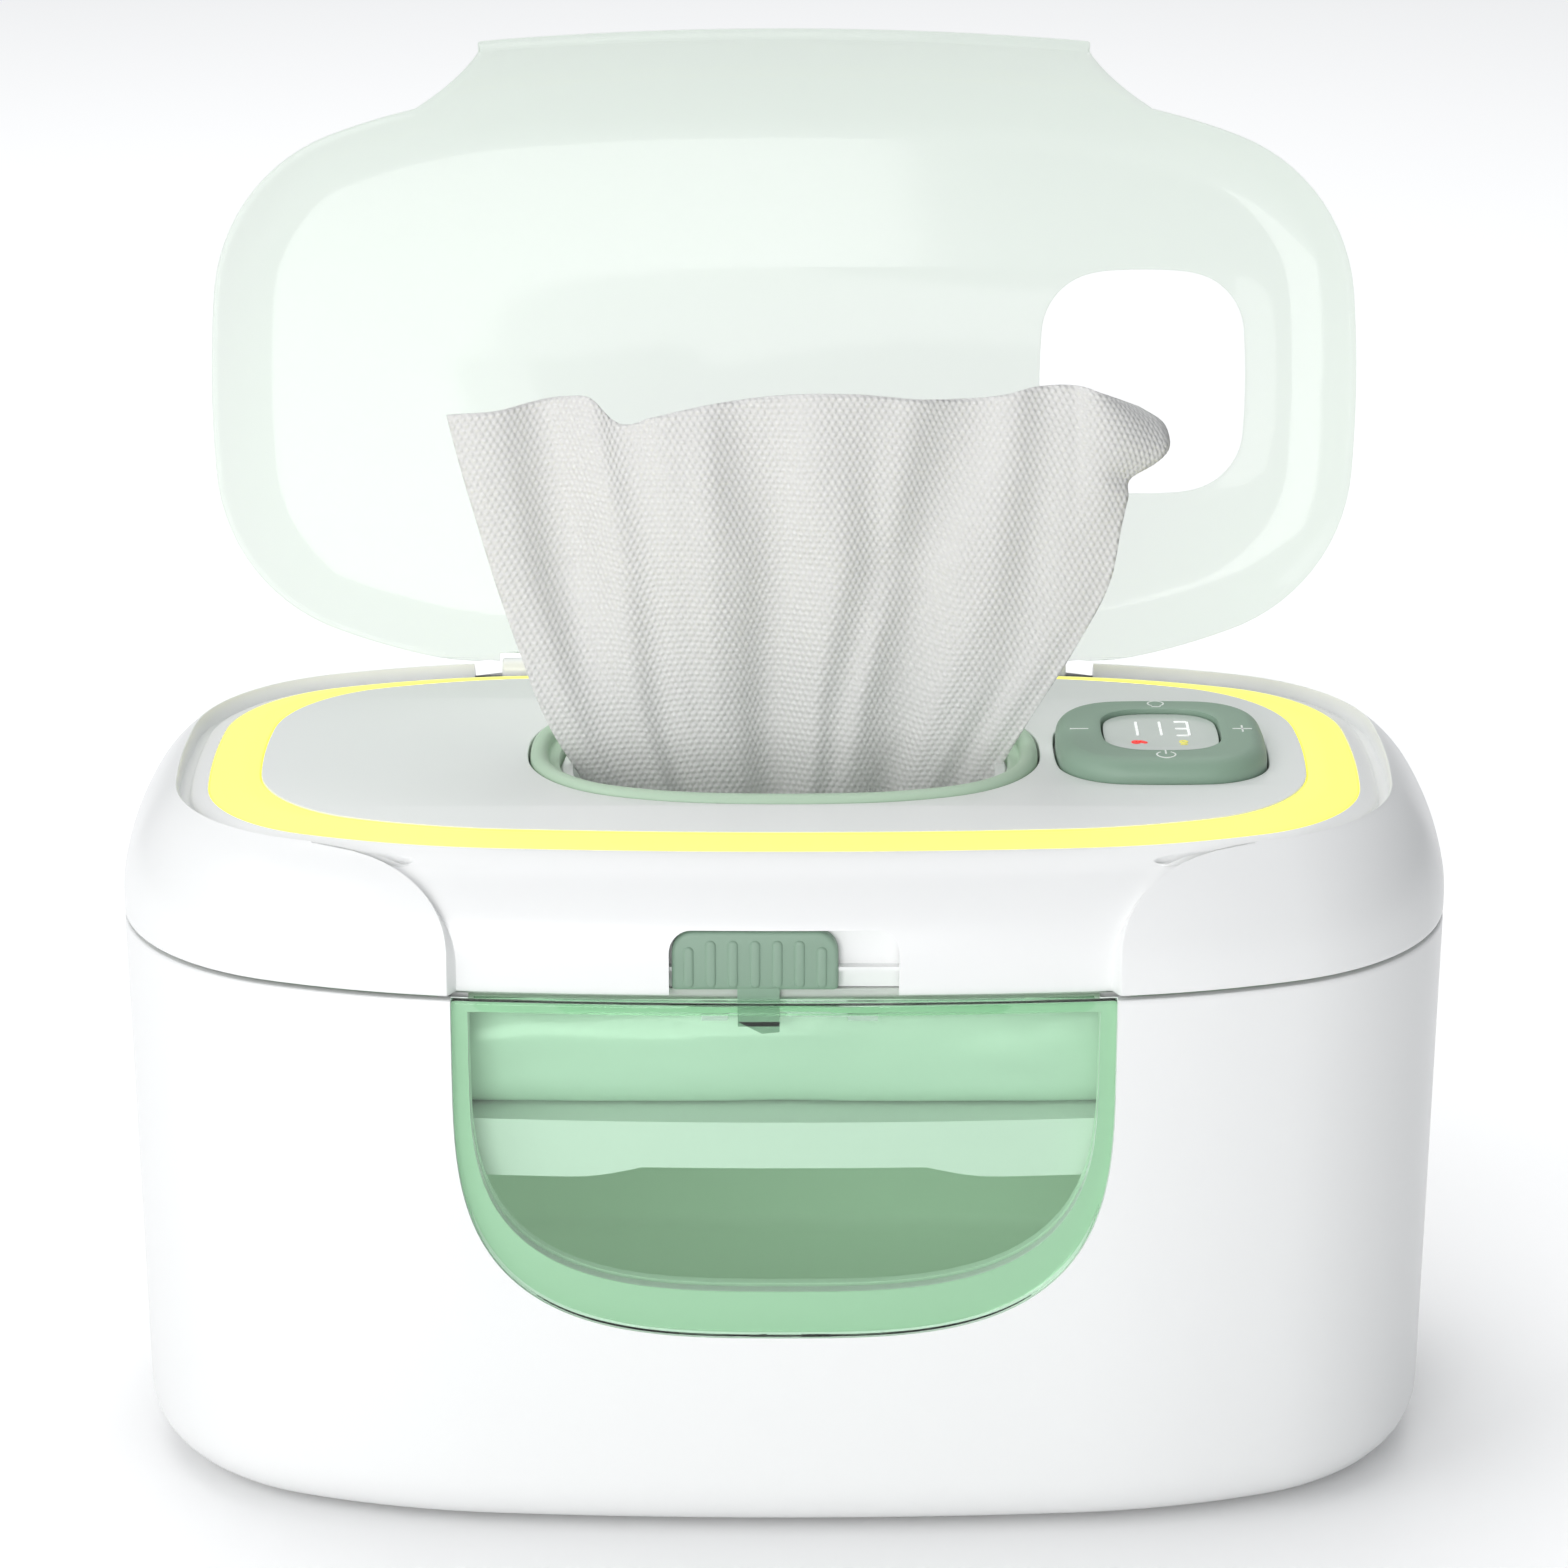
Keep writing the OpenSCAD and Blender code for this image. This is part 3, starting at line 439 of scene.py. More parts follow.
# %% Finishes of the ring, the display and the signs
glow = finish("ring_glow", (0.97, 0.93, 0.22), 0.5, drift=0.02, Specular_IOR_Level=0.3,
              Emission_Color=(1.0, 0.96, 0.14, 1), Emission_Strength=0.5)
lens_grey = finish("lens_grey", (0.72, 0.765, 0.73), 0.16, drift=0.02, relief=0.02, Coat_Weight=0.6)
sign_white = finish("sign_white", (0.86, 0.90, 0.86), 0.5, drift=0.02)
figure_white = finish("figure_white", (0.93, 0.95, 0.93), 0.4, Emission_Color=(1, 1, 1, 1), Emission_Strength=0.25)
sign_red = finish("sign_red", (0.80, 0.02, 0.02), 0.4, Emission_Color=(1, 0.05, 0.03, 1), Emission_Strength=0.35)
sign_yellow = finish("sign_yellow", (0.80, 0.74, 0.16), 0.4, Emission_Color=(1, 0.9, 0.2, 1), Emission_Strength=0.2)
print("with ring and signs:", len(bpy.data.materials))

# %% [markdown]
# The window and the lid are clear. The window is thick, so it refracts: it keeps a plain
# Transmission Weight, and lets shadow rays and diffuse rays through as tinted light, so that
# what stands behind it isn't in the dark. The lid is a thin skin that hardly bends light: it
# is a tinted film with Alpha, thin face on and denser where it turns away from the eye.

# %% Clear finishes
clear_window_green = finish("clear_window", (0.78, 0.92, 0.81), 0.05, drift=0.01, change=0.02, relief=0.0,
                            Transmission_Weight=1.0, IOR=1.40)
tree = clear_window_green.node_tree
rays = add_node(tree, "LightPath").outputs
veil = add_node(tree, "BsdfTransparent", Color=(0.87, 0.95, 0.89, 1))
passing = maths(tree, "MAXIMUM", rays["Is Shadow Ray"], rays["Is Diffuse Ray"])
connect(tree, tree.nodes["Material Output"], Surface=mix_shaders(tree, passing, tree.nodes["Principled BSDF"], veil))

clear_lid_green = finish("clear_lid", (0.34, 0.57, 0.35), 0.10, drift=0.01, relief=0.0,
                         Coat_Weight=0.5, Coat_Roughness=0.05)
tree = clear_lid_green.node_tree
rim_view = add_node(tree, "LayerWeight", Blend=0.35)
grazing = maths(tree, "POWER", rim_view.outputs["Facing"], 4.0)
film = maths(tree, "MULTIPLY_ADD", grazing, 0.55, 0.165)
rays = add_node(tree, "LightPath").outputs
unseen = maths(tree, "SUBTRACT", 1.0, maths(tree, "MULTIPLY", rays["Is Shadow Ray"], 0.85))
connect(tree, tree.nodes["Principled BSDF"], Alpha=maths(tree, "MULTIPLY", film, unseen))
print("finishes:", len(bpy.data.materials))

# %% [markdown]
# ## Parts that keep their CAD shape
# Screws, pins, the tank, the liner and the electrics are right as drawn. They are mostly out
# of sight, and each still gets the finish that the real part has; the tank's finish also carries
# painted light. The parts that a finer piece replaces further down are dressed here too, so that
# no node is left without a finish.

# %% Finishes of the CAD parts
for finish_used, names in (
        (rubber_black, "foot_ring"), (tank_green_painted_light, "inner_tank"),
        (steel, "tank_screws latch_keeper lift_springs cover_screws hinge_pins lid_pins thermostat"),
        (inner_white, "lift_tray cover_liner port_chute deck_plate"), (seal_grey, "cover_seal"),
        (board_green, "led_strip control_board"), (heat_metal, "heater_plate"),
        (film_amber, "heater_film"), (module_white, "display_module"),
        (socket_black, "power_inlet"), (wire_red, "wiring"),
        (gloss_white, "lower_housing upper_housing"), (clear_window_green, "front_window"),
        (plate_grey, "top_plate"), (glow, "light_ring"), (sage_light, "port_lip"),
        (sage, "key_pad latch_slider"), (sign_white, "key_icons wipe_sheet"),
        (lens_grey, "display_lens"), (pack_film, "wipes_pack"), (clear_lid_green, "lid")):
    for name in names.split():
        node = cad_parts[name]
        node.data.materials.clear()
        node.data.materials.append(finish_used)
print("dressed CAD nodes:", len(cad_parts))

# %% [markdown]
# ## The tub
# The lower housing is one deep moulded tub: its walls lean in a little towards the floor and
# turn under with a 12 mm radius. Its profile is swept round the outline, and the U-shaped seat
# of the window is then cut out. A thin frame behind the cut carries the window.

# %% Tub
TUB_TOP, DRAFT, BOTTOM_R, LIFT, WALL = 107.4, 1.6, 12.0, 0.6, 2.6
BEND_Z, BEND = 95, 0.606                     # where the window's sides begin to bend, and how fully


def lean(height):
    """How far the wall stands inside the outline at this height."""
    return DRAFT * (TUB_TOP - np.asarray(height, float)) / (TUB_TOP - LIFT - BOTTOM_R)


def tub_profile():
    """Outer skin from under the floor up to the rim, then the inner skin back down."""
    turn = DRAFT + BOTTOM_R
    outside = [(30, LIFT), (24.4, LIFT), (24.2, 0.8), (24.2, 1.7), (17.8, 1.7), (17.8, 0.8), (17.6, LIFT)]
    outside += arc_profile((turn, LIFT + BOTTOM_R), BOTTOM_R, -90, 0, 10)
    outside += [(float(lean(z)), z) for z in np.linspace(16, 106.6, 24)]
    rim = [(0.05, 107.0), (0.16, 107.25), (0.4, TUB_TOP), (2.2, TUB_TOP), (2.45, 107.25), (WALL, 107.0)]
    inside = [(WALL + float(lean(z)), z) for z in np.linspace(104, 14, 12)]
    inside += arc_profile((turn, LIFT + BOTTOM_R), BOTTOM_R - WALL, 0, -90, 6)
    return outside + rim + inside + [(30, LIFT + WALL)]


def u_shape(half, low, top, steps=40):
    """Points (x, z) down the right side of the U, round its bottom and up the left side."""
    t = np.radians(np.linspace(0, 180, 2 * steps + 1))
    x = half * np.sign(np.cos(t)) * np.abs(np.cos(t)) ** BEND
    z = BEND_Z - (BEND_Z - low) * np.sin(t) ** BEND
    return [(half, top)] + list(zip(x, z)) + [(-half, top)]


def prism(name, shape, y0, y1):
    """A closed solid from (x, z) points, between two depths."""
    points = [(x, y0, z) for x, z in shape] + [(x, y1, z) for x, z in shape]
    n = len(shape)
    return build(name, points, [tuple(range(n)), tuple(range(2 * n - 1, n - 1, -1))] + band([shape, shape]))


rows = swept(body, tub_profile(), body.even(300))
tub = build("tub", np.concatenate(rows), band(rows) + ends(rows))
cut(tub, prism("window_cutter", u_shape(60.1, 41.8, 112), -90, -50))
tub.data.set_sharp_from_angle(angle=math.radians(30))
print("tub: %d faces, %d open edges" % (len(tub.data.polygons), open_edges(tub)))


# %% Window frame
def on_front(x, z, inset):
    """A point on the tub's front wall, that far inside its surface."""
    return (x, float(body.front_y(x, inset + float(lean(z)))), z)


frame_rows = [[on_front(x, z, inset) for x, z in u_shape(half, low, TUB_TOP)] for half, low, inset in (
    (62.5, 39.2, 2.65), (60.2, 41.7, 2.42), (57.4, 50.1, 2.42), (57, 50.5, 2.7), (57, 50.5, 4.8), (62.5, 39.2, 4.8))]
window_frame = build("window_frame", np.concatenate(frame_rows), band(frame_rows, close_around=False, close_up=True))
print("window frame: %d open edges" % open_edges(window_frame))


# %% Tub hinge
def tube_x(name, x0, x1, y, z, radius, soft=0.3, steps=40):
    """A round bar along X with softened ends."""
    rows = []
    for x, r in ((x0, radius - soft), (x0 + soft, radius), (x1 - soft, radius), (x1, radius - soft)):
        rows.append([(x, y + r * math.cos(t), z + r * math.sin(t))
                     for t in np.linspace(0, 2 * math.pi, steps, endpoint=False)])
    return build(name, np.concatenate(rows), band(rows) + ends(rows))


def knuckle(name, x0, x1, y, z, radius, web):
    """A hinge barrel with softened ends, on a web whose (y, z) outline is given."""
    rows = [[(x, *p) for p in web] for x in (x0 + 0.2, x1 - 0.2)]
    return [tube_x(name, x0, x1, y, z, radius), build(name + "_web", np.concatenate(rows), ends(rows) + band(rows))]


def both_sides(near, far):
    """The side's sign and the x range of a part, on the left and then on the right."""
    return (-1, -far, -near), (1, near, far)


HINGE_Y, HINGE_Z, HINGE_R = 74.2, 108.0, 3.9
tub_web = [(67, 94), (67, TUB_TOP), (70.6, TUB_TOP), (HINGE_Y, 108), (78, 107), (76.6, 103.4), (69.2, 92.6)]
parts = [tub, window_frame]
for side, x0, x1 in both_sides(39.2, 50.8):
    parts += knuckle("tub_knuckle_%d" % side, x0, x1, HINGE_Y, HINGE_Z, HINGE_R, tub_web)
tub = join("tub_shell", parts)
dress(tub, gloss_white, "base", "housing", "lower_housing")

# %% [markdown]
# ## The sight window
# The window is a clear green U that lies flush in the tub. It is a curved plate with rounded
# edges, a finger scoop pressed into its top and a rib behind the top edge. It is built as two
# curved grids, front and back, joined by a rounded rim.

# %% Window
SCOOP_R, SCOOP_DEPTH, SCOOP_Z = 19.3, 0.9, 112.1
WINDOW_HALF, WINDOW_DEEP = 59.95, 53.05


def window_sheet(shrink, inset, scoop=False):
    """A grid of points over the U, that far inside the tub's surface."""
    half, deep = WINDOW_HALF - shrink, WINDOW_DEEP - shrink
    t = np.radians(np.concatenate([[0], np.linspace(2, 89.4, 44)]))
    heights = np.concatenate([np.linspace(TUB_TOP - shrink, 95.5, 9), BEND_Z - deep * np.sin(t) ** BEND])
    halves = np.concatenate([np.full(9, half), half * np.cos(t) ** BEND])
    grid = []
    for z, reach in zip(heights, halves):
        row = []
        for x in np.linspace(-reach, reach, 90):
            far = math.hypot(x, z - SCOOP_Z) / SCOOP_R
            dip = SCOOP_DEPTH * (1 - far * far) if scoop and far < 1 else 0
            row.append(on_front(x, z, inset + dip))
        grid.append(row)
    return grid


def edge_of(grid):
    """Point numbers round the edge of a grid."""
    high, wide = len(grid), len(grid[0])
    ring = list(range(wide)) + [r * wide + wide - 1 for r in range(1, high)]
    ring += [(high - 1) * wide + c for c in range(wide - 2, -1, -1)]
    return ring + [r * wide for r in range(high - 2, 0, -1)]


def curved_plate(name, layers):
    """Grids from front to back: the first and last are filled, the others round the edge."""
    points, faces, rings = [], [], []
    for k, grid in enumerate(layers):
        ring, start = edge_of(grid), len(points)
        flat = [p for row in grid for p in row]
        if k in (0, len(layers) - 1):
            points += flat
            faces += band(grid, close_around=False, start=start)
            rings.append([start + i for i in ring])
        else:
            points += [flat[i] for i in ring]
            rings.append(range(start, start + len(ring)))
    for low, up in zip(rings, rings[1:]):
        faces += bridge(low, up)
    return build(name, points, faces, sharp=60)


window = curved_plate("sight_window_plate", [
    window_sheet(0.45, 0, scoop=True), window_sheet(0.12, 0.1), window_sheet(0, 0.4), window_sheet(0, 1.9),
    window_sheet(0.3, 2.25)])
rib_rows = [[on_front(x, z, depth) for x in np.linspace(-56, 56, 40)]
            for z, depth in ((104.9, 2.5), (104.9, 3.5), (107.3, 3.5), (107.3, 2.5))]
rib = build("window_rib", np.concatenate(rib_rows), band(rib_rows, close_around=False, close_up=True) +
            [(0, 40, 80, 120), (39, 79, 119, 159)], sharp=30)
window = join("sight_window", [window, rib])
dress(window, clear_window_green, "base", "clear_green", "front_window")

# %% [markdown]
# The window is bonded in with a green band that shows through its border and along its top.
# It is a thin strip just behind the clear plate, between the window's edge and the opening.

# %% Bonded band
outside, inside = u_shape(59.6, 42.4, 107.0), u_shape(57, 50.5, 104.9)
loops = [[on_front(x, z, depth) for x, z in shape] for depth in (2.28, 2.42) for shape in (outside, inside)]
count = len(outside)
faces = []
for a, b in ((0, 1), (1, 3), (3, 2), (2, 0)):
    faces += bridge(range(a * count, (a + 1) * count), range(b * count, (b + 1) * count))
band_piece = build("window_band", np.concatenate(loops), faces)
dress(band_piece, band_green, "base", "clear_green")

# %% [markdown]
# ## Springs of the tray
# Two steel compression springs push the tray up. Each is a round wire carried along a helix,
# with its first and last turn closed, as ground spring ends are. The CAD spring is a rigid
# stand-in, so these replace it, in its place under the tray.

# %% Tray springs
spring_low, spring_high = (np.array(corner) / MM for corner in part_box("lift_springs"))
WIRE, COIL, TURNS, SPRING_X, TRAVEL = 0.7, 7.6, 8, 86, 30.5
along = np.linspace(0, 1, TURNS * 28 + 1)
climb = np.clip((along * TURNS - 0.9) / (TURNS - 1.8), 0, 1)
heights = spring_low[2] + WIRE + (spring_high[2] - spring_low[2] - 2 * WIRE) * climb
springs = []
for side in (-1, 1):
    rings = []
    for share, height in zip(along, heights):
        turn = 2 * math.pi * TURNS * share
        rings.append([(side * SPRING_X + (COIL + WIRE * math.cos(a)) * math.cos(turn),
                       (COIL + WIRE * math.cos(a)) * math.sin(turn), height + WIRE * math.sin(a))
                      for a in np.linspace(0, 2 * math.pi, 10, endpoint=False)])
    springs.append(build("tray_spring_%d" % side, np.concatenate(rings), band(rings) + ends(rings)))
springs = join("tray_springs", springs)
dress(springs, steel, "base", "steel", "lift_springs")
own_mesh(springs)

# %% [markdown]
# ## The cover
# The cover is the piece with the most form. Its shoulder rises in a quarter circle to a crest,
# a groove inside the crest takes the lid's rim, and a second, smaller shoulder carries the lit
# ring. At the front the outer shoulder is cut away between two S-shaped flanks, where the
# lid's tongue will lie. Two profiles, one with and one without the outer shoulder, share
# the same rows of points; columns that follow the flanks let one turn into the other softly.

# %% Cover profiles
SPLIT_Z = 108.2
SHOULDER_R, SHOULDER_Z = 24.8, 112.0
CORE_R, CORE_Z, RECESS = 17.5, 114.1, 2.8
CREST, RING_OUT = 10.6, 16.45
FLARE_Z, FLARE_OUT = 115, 25                 # where the flanks begin to flare, and how far they go


def core_height(inset):
    """Height of the surface under the lid at an inset."""
    over = np.clip((RECESS + CORE_R - np.asarray(inset, float)) / CORE_R, -1, 1)
    return CORE_Z + CORE_R * np.sqrt(1 - over ** 2)


def cover_profiles():
    """Matching rows (inset, height) of the full shoulder and of the cut-away front."""
    full = [(2.5, 109.4), (2.3, 108.35), (1.9, SPLIT_Z), (0.55, SPLIT_Z), (0.2, 108.35), (0.03, 108.7)]
    bare = [(5.3, 109.4), (5.1, 108.35), (4.7, SPLIT_Z), (3.3, SPLIT_Z), (3.0, 108.35), (2.83, 108.7)]
    for z in np.linspace(109.6, 112, 5):
        full.append((0, z))
        bare.append((RECESS, z))
    top_turn = math.degrees(math.acos((SHOULDER_R - CREST + 0.35) / SHOULDER_R))
    full += arc_profile((SHOULDER_R, SHOULDER_Z), SHOULDER_R, 2.2, top_turn, 26)
    bare += [(RECESS, z) for z in np.linspace(112.3, 114, 4)]
    bare += arc_profile((RECESS + CORE_R, CORE_Z), CORE_R, 1.5, 55.2, 22)
    crest_z = full[-1][1]
    groove = [(10.4, crest_z + 0.16), (10.6, crest_z + 0.05), (10.68, crest_z - 0.25), (10.7, 130.4), (10.7, 129.2),
              (10.85, 128.85), (11.2, 128.7), (12.5, 128.7), (12.85, 128.85), (12.98, 129.1), (13.05, 129.75),
              (13.2, 130.05)]
    full += groove
    for inset in np.linspace(10.45, 13.2, len(groove)):
        bare.append((inset, float(core_height(inset))))
    for inset in np.linspace(13.5, 16.2, 7):
        for rows in (full, bare):
            rows.append((inset, float(core_height(inset))))
    seat = [(RING_OUT - 0.1, 131.14), (RING_OUT, 131.0), (RING_OUT, 129.5), (26, 129.4), (26, 127)]
    under = [(14, 126.9), (8.5, 124.5), (4.6, 120.5), (2.7, 114.5)]
    full += seat + under
    bare += seat + [(14, 126.9), (9.5, 124.5), (6.4, 120.5), (5.35, 114.5)]
    return np.array(full), np.array(bare)


def flared(height, half, run):
    """Half width of the recess or the tongue at a height: straight, then out into the crest."""
    rise = np.clip((height - FLARE_Z) / run, 0, 1)
    return float(half + FLARE_OUT - FLARE_OUT * np.cos(np.arcsin(rise ** 1.25)) ** 0.8)


full, bare = cover_profiles()
print("cover rows:", len(full), len(bare))

# %% [markdown]
# Each row has its own columns: those at the flank stand at fixed distances from it, and the
# others share out the rest of the outline. Only the right half is laid out; the left mirrors it.

# %% Cover mesh
RECESS_HALF, RECESS_RUN = 60.0, 16.9
FLANK = np.array([-2.2, -1.5, -1.0, -0.65, -0.4, -0.2, 0.0, 0.2, 0.4, 0.65, 1.0, 1.5, 2.2])
SPREAD = 0.72                                # half the run of the flank's slope


def half_columns(inset, edge, inner=34, outer=26, back=70):
    """Normal angles of one row's columns, front centre to back centre, and their blend."""
    inside = body.angle_at_x(np.linspace(0, 1, inner, endpoint=False) * (edge + FLANK[0]), inset)
    flank = body.angle_at_x(edge + FLANK, inset)
    side = np.linspace(flank[-1], -30, outer + 1)[1:]
    rest = body.even(back, -30, 90, closed=False)[1:]
    blend = np.clip((FLANK + SPREAD) / (2 * SPREAD), 0, 1)
    blend = blend * blend * (3 - 2 * blend)
    weights = np.concatenate([np.zeros(inner), blend, np.ones(len(side) + len(rest))])
    return np.concatenate([inside, flank, side, rest]), weights


cover_rows = []
for (inset_full, z_full), (inset_bare, z_bare) in zip(full, bare):
    angles, weight = half_columns(inset_full, flared(z_full, RECESS_HALF, RECESS_RUN))
    inset = inset_bare + (inset_full - inset_bare) * weight
    height = z_bare + (z_full - z_bare) * weight
    right = np.column_stack([np.stack([body.at(a, i) for a, i in zip(angles, inset)]), height])
    left = right[-2:0:-1] * (-1, 1, 1)
    cover_rows.append(np.concatenate([right, left]))
cover = build("cover", np.concatenate(cover_rows), band(cover_rows, close_up=True), sharp=40)
print("cover: %d x %d points" % (len(cover_rows), len(cover_rows[0])))

# %% [markdown]
# Three things are cut through the finished shell: the latch's slot in the front panel, the
# round hole of the power inlet at the back, and the trough that the lid's hinge lies in.

# %% Cut-outs of the cover
def rounded_slot(half, low, top, radius, steps=10):
    """(x, z) outline of the latch's slot: square below, rounded above."""
    turn = np.radians(np.linspace(0, 90, steps))
    right = [(half - radius + radius * math.cos(t), top - radius + radius * math.sin(t)) for t in turn]
    return [(half, low)] + right + [(-x, z) for x, z in reversed(right)] + [(-half, low)]


def block(name, x0, x1, y0, y1, z0, z1):
    return prism(name, [(x0, z0), (x1, z0), (x1, z1), (x0, z1)], y0, y1)


def tube_y(name, x, z, radius, y0, y1, steps=48):
    turn = np.linspace(0, 2 * math.pi, steps, endpoint=False)
    return prism(name, [(x + radius * math.cos(t), z + radius * math.sin(t)) for t in turn], y0, y1)


INLET_X, INLET_Z = 84.0, 113.6
cut(cover, prism("slot_cutter", rounded_slot(20.7, 100, 120.4, 4), -80, -60),
    tube_y("inlet_cutter", INLET_X, INLET_Z, 5.0, 40, 90),
    block("trough_cutter", -62, 62, 54.4, 61.2, 128.3, 140))
cover.data.set_sharp_from_angle(angle=math.radians(40))
print("cover after the cuts: %d open edges" % open_edges(cover))

# %% Backs, posts and knuckles of the cover
LID_Y, LID_Z, LID_R = 57.2, 131.0, 2.2
parts = [cover, block("slot_back", -23.8, 23.8, -63.3, -61.8, 108.7, 122.6),
         block("slot_ledge", -20.7, 20.7, -65.2, -63.3, 112.4, 113.1),
         block("trough_floor", -62, 62, 52.5, 61.3, 127.4, 128.3)]
post_web = [(LID_Y - LID_R, 128), (LID_Y - LID_R, LID_Z), (LID_Y + LID_R, LID_Z), (LID_Y + LID_R, 128)]
for x in (17.6, 51.0):
    for side, x0, x1 in both_sides(x, x + 5.4):
        parts += knuckle("post_%d_%d" % (x, side), x0, x1, LID_Y, LID_Z, LID_R, post_web)
cover_web = [(66.4, SPLIT_Z), (70, SPLIT_Z), (HINGE_Y, 107.6), (78, 109.4), (75, 114.6), (70, 117.5), (66.4, 117.5)]
for x in (33.4, 51.4):
    for side, x0, x1 in both_sides(x, x + 5.2):
        parts += knuckle("cover_knuckle_%d_%d" % (x, side), x0, x1, HINGE_Y, HINGE_Z, HINGE_R, cover_web)
cover = join("cover_shell", parts)
dress(cover, gloss_white, "cover", "housing", "upper_housing")

# %% [markdown]
# ## Lit ring and top plate
# The ring is a clear strip that glows pale yellow: it slopes up from the cover's small shoulder
# to the flat plate. Its outer edge follows the body's outline and its inner edge follows the
# plate's, so its rows go from one outline to the other. The plate is flat, with two openings.

# %% Lit ring
around = body.even(240)


def between(share, inset_body, inset_plate, height):
    """A row between the body's outline and the plate's, at a share of the way."""
    return row_at(body.at(around, inset_body) * (1 - share) + ring_inside.at(around, inset_plate) * share, height)


rows = [between(0, inset, 0, z) for inset, z in ((16.6, 129.5), (16.6, 130.95), (16.72, 131.22), (17.0, 131.36))]
rows += [between(0, 17 + 5.4 * s, 0, 131.36 + 1.2 * s) for s in (0.25, 0.5, 0.75, 0.95)]
rows += [between(s, 22.6, 0, 132.62) for s in (0.15, 0.5, 0.8)]
rows += [between(1, 0, inset, z) for inset, z in ((-0.3, 132.62), (-0.12, 132.5), (-0.08, 132.2), (-0.08, 129.5))]
ring = build("glow_ring", np.concatenate(rows), band(rows, close_up=True))
dress(ring, glow, "cover", "ring_glow", "light_ring")

# %% Top plate
def holed_plate(name, edges, profile_out, profile_in):
    """A flat plate with holes: rounded outer edge, rounded hole edges, flat top and bottom."""
    points, faces, tops, bottoms = [], [], [], []
    for k, (outline, count) in enumerate(edges):
        rows = swept(outline, profile_in if k else profile_out, outline.even(count))
        start = len(points)
        faces += band(rows, start=start)
        tops.append((start, rows[0]))
        bottoms.append((start + (len(rows) - 1) * count, rows[-1]))
        points += [tuple(p) for row in rows for p in row]
    for skin in (tops, bottoms):
        faces += flat_fill([row for _, row in skin], [start for start, _ in skin])
    return build(name, points, faces)


top_plate = holed_plate(
    "top_panel", [(ring_inside, 240), (port, 140), (pad, 96)],
    [(0.55, 132.7), (0.3, 132.66), (0.17, 132.5), (0.15, 132.2), (0.15, 131.0)],
    [(-0.75, 132.7), (-0.55, 132.66), (-0.42, 132.5), (-0.4, 132.2), (-0.4, 131.0)])
dress(top_plate, plate_grey, "cover", "plate", "top_plate")

# %% [markdown]
# ## Port rim and key pad
# Both are soft mouldings: the rim is a rounded bead with a lower ledge inside, and the pad is a
# cushion with a full edge round the display. Small radii everywhere catch the light.

# %% Port rim
bead = [(0, 128.4), (0, 132.0)] + arc_profile((1.7, 132.2), 1.7, 4, 172, 11)
bead += [(3.45, 131.7), (3.7, 131.45), (4.4, 131.4), (5.1, 131.38), (5.45, 131.2), (5.6, 130.8), (5.6, 128.4)]
rows = swept(port, bead, port.even(160))
rim = build("port_rim", np.concatenate(rows), band(rows, close_up=True))
dress(rim, sage_light, "cover", "soft_green", "port_lip")

# %% Key pad
around = pad.even(128)
outer = [(3.5, 130.6), (0.0, 130.7), (0.0, 133.4)] + arc_profile((3.4, 133.6), 3.4, 4, 86, 12)
inner = [(-0.75, 136.98), (-0.5, 136.85), (-0.42, 136.6), (-0.4, 136.0), (-0.4, 130.6)]
rows = swept(pad, outer, around)
rows += [row_at(pad.at(around, 3.6) * (1 - s) + display.at(around, -0.9) * s, 137.0) for s in (0.35, 0.75)]
rows += swept(display, inner, around)
cushion = build("key_cushion", np.concatenate(rows), band(rows, close_up=True))
dress(cushion, sage, "pad", "soft_green", "key_pad")

# %% [markdown]
# ## Display and signs
# The display is a slightly domed pane under the cushion's edge. Its figures are made of short
# bars, as lamps behind a mask are, with two small coloured signs below. The four signs on the
# keys are thin raised strokes: less, more, lamp and power.

# %% Display pane
around = display.even(96)
rows = swept(display, [(0, 134.6), (0, 135.8), (0.08, 135.98), (0.35, 136.06)], around)
edge_row = display.at(around, 0.35)
for share in (0.3, 0.6, 0.85):
    rows.append(row_at((edge_row - display.centre) * (1 - share) + display.centre, 136.06 + 0.12 * share))
points = list(np.concatenate(rows)) + [(PAD_X, 0, 136.2)]
underside, last_row = ends(rows)
fan = [(last_row[i - 1], last_row[i], len(points) - 1) for i in range(1, len(around))]
fan.append((last_row[-1], last_row[0], len(points) - 1))
pane = build("display_pane", points, band(rows) + [underside] + fan)
dress(pane, lens_grey, "cover", "lens", "display_lens")


# %% Strokes for figures and signs
def stroke(points, width, low, high, closed=False):
    """A flat bar with rounded ends along (x, y) points, between two heights."""
    line = [Vector(p) for p in points]
    n = len(line)
    left, right = [], []
    for i, p in enumerate(line):
        before = line[i - 1] if i or closed else p
        after = line[(i + 1) % n] if i < n - 1 or closed else p
        way = (after - before).normalized()
        side = Vector((-way.y, way.x)) * width / 2
        left.append(p + side)
        right.append(p - side)
    if closed:
        edges = [left, right]
    else:
        def cap(p, side, way):
            return [p + side * math.cos(a) + way * math.sin(a) * width / 2
                    for a in np.linspace(0, math.pi, 7)[1:-1]]
        end_way, start_way = (line[-1] - line[-2]).normalized(), (line[0] - line[1]).normalized()
        edges = [left + cap(line[-1], left[-1] - line[-1], end_way) +
                 right[::-1] + cap(line[0], right[0] - line[0], start_way)]
    solid, faces, starts = [], [], []
    for edge in edges:
        starts.append(len(solid))
        faces += band([edge, edge], start=len(solid))
        solid += [(p.x, p.y, high) for p in edge] + [(p.x, p.y, low) for p in edge]
    return solid, faces + flat_fill(edges, starts)


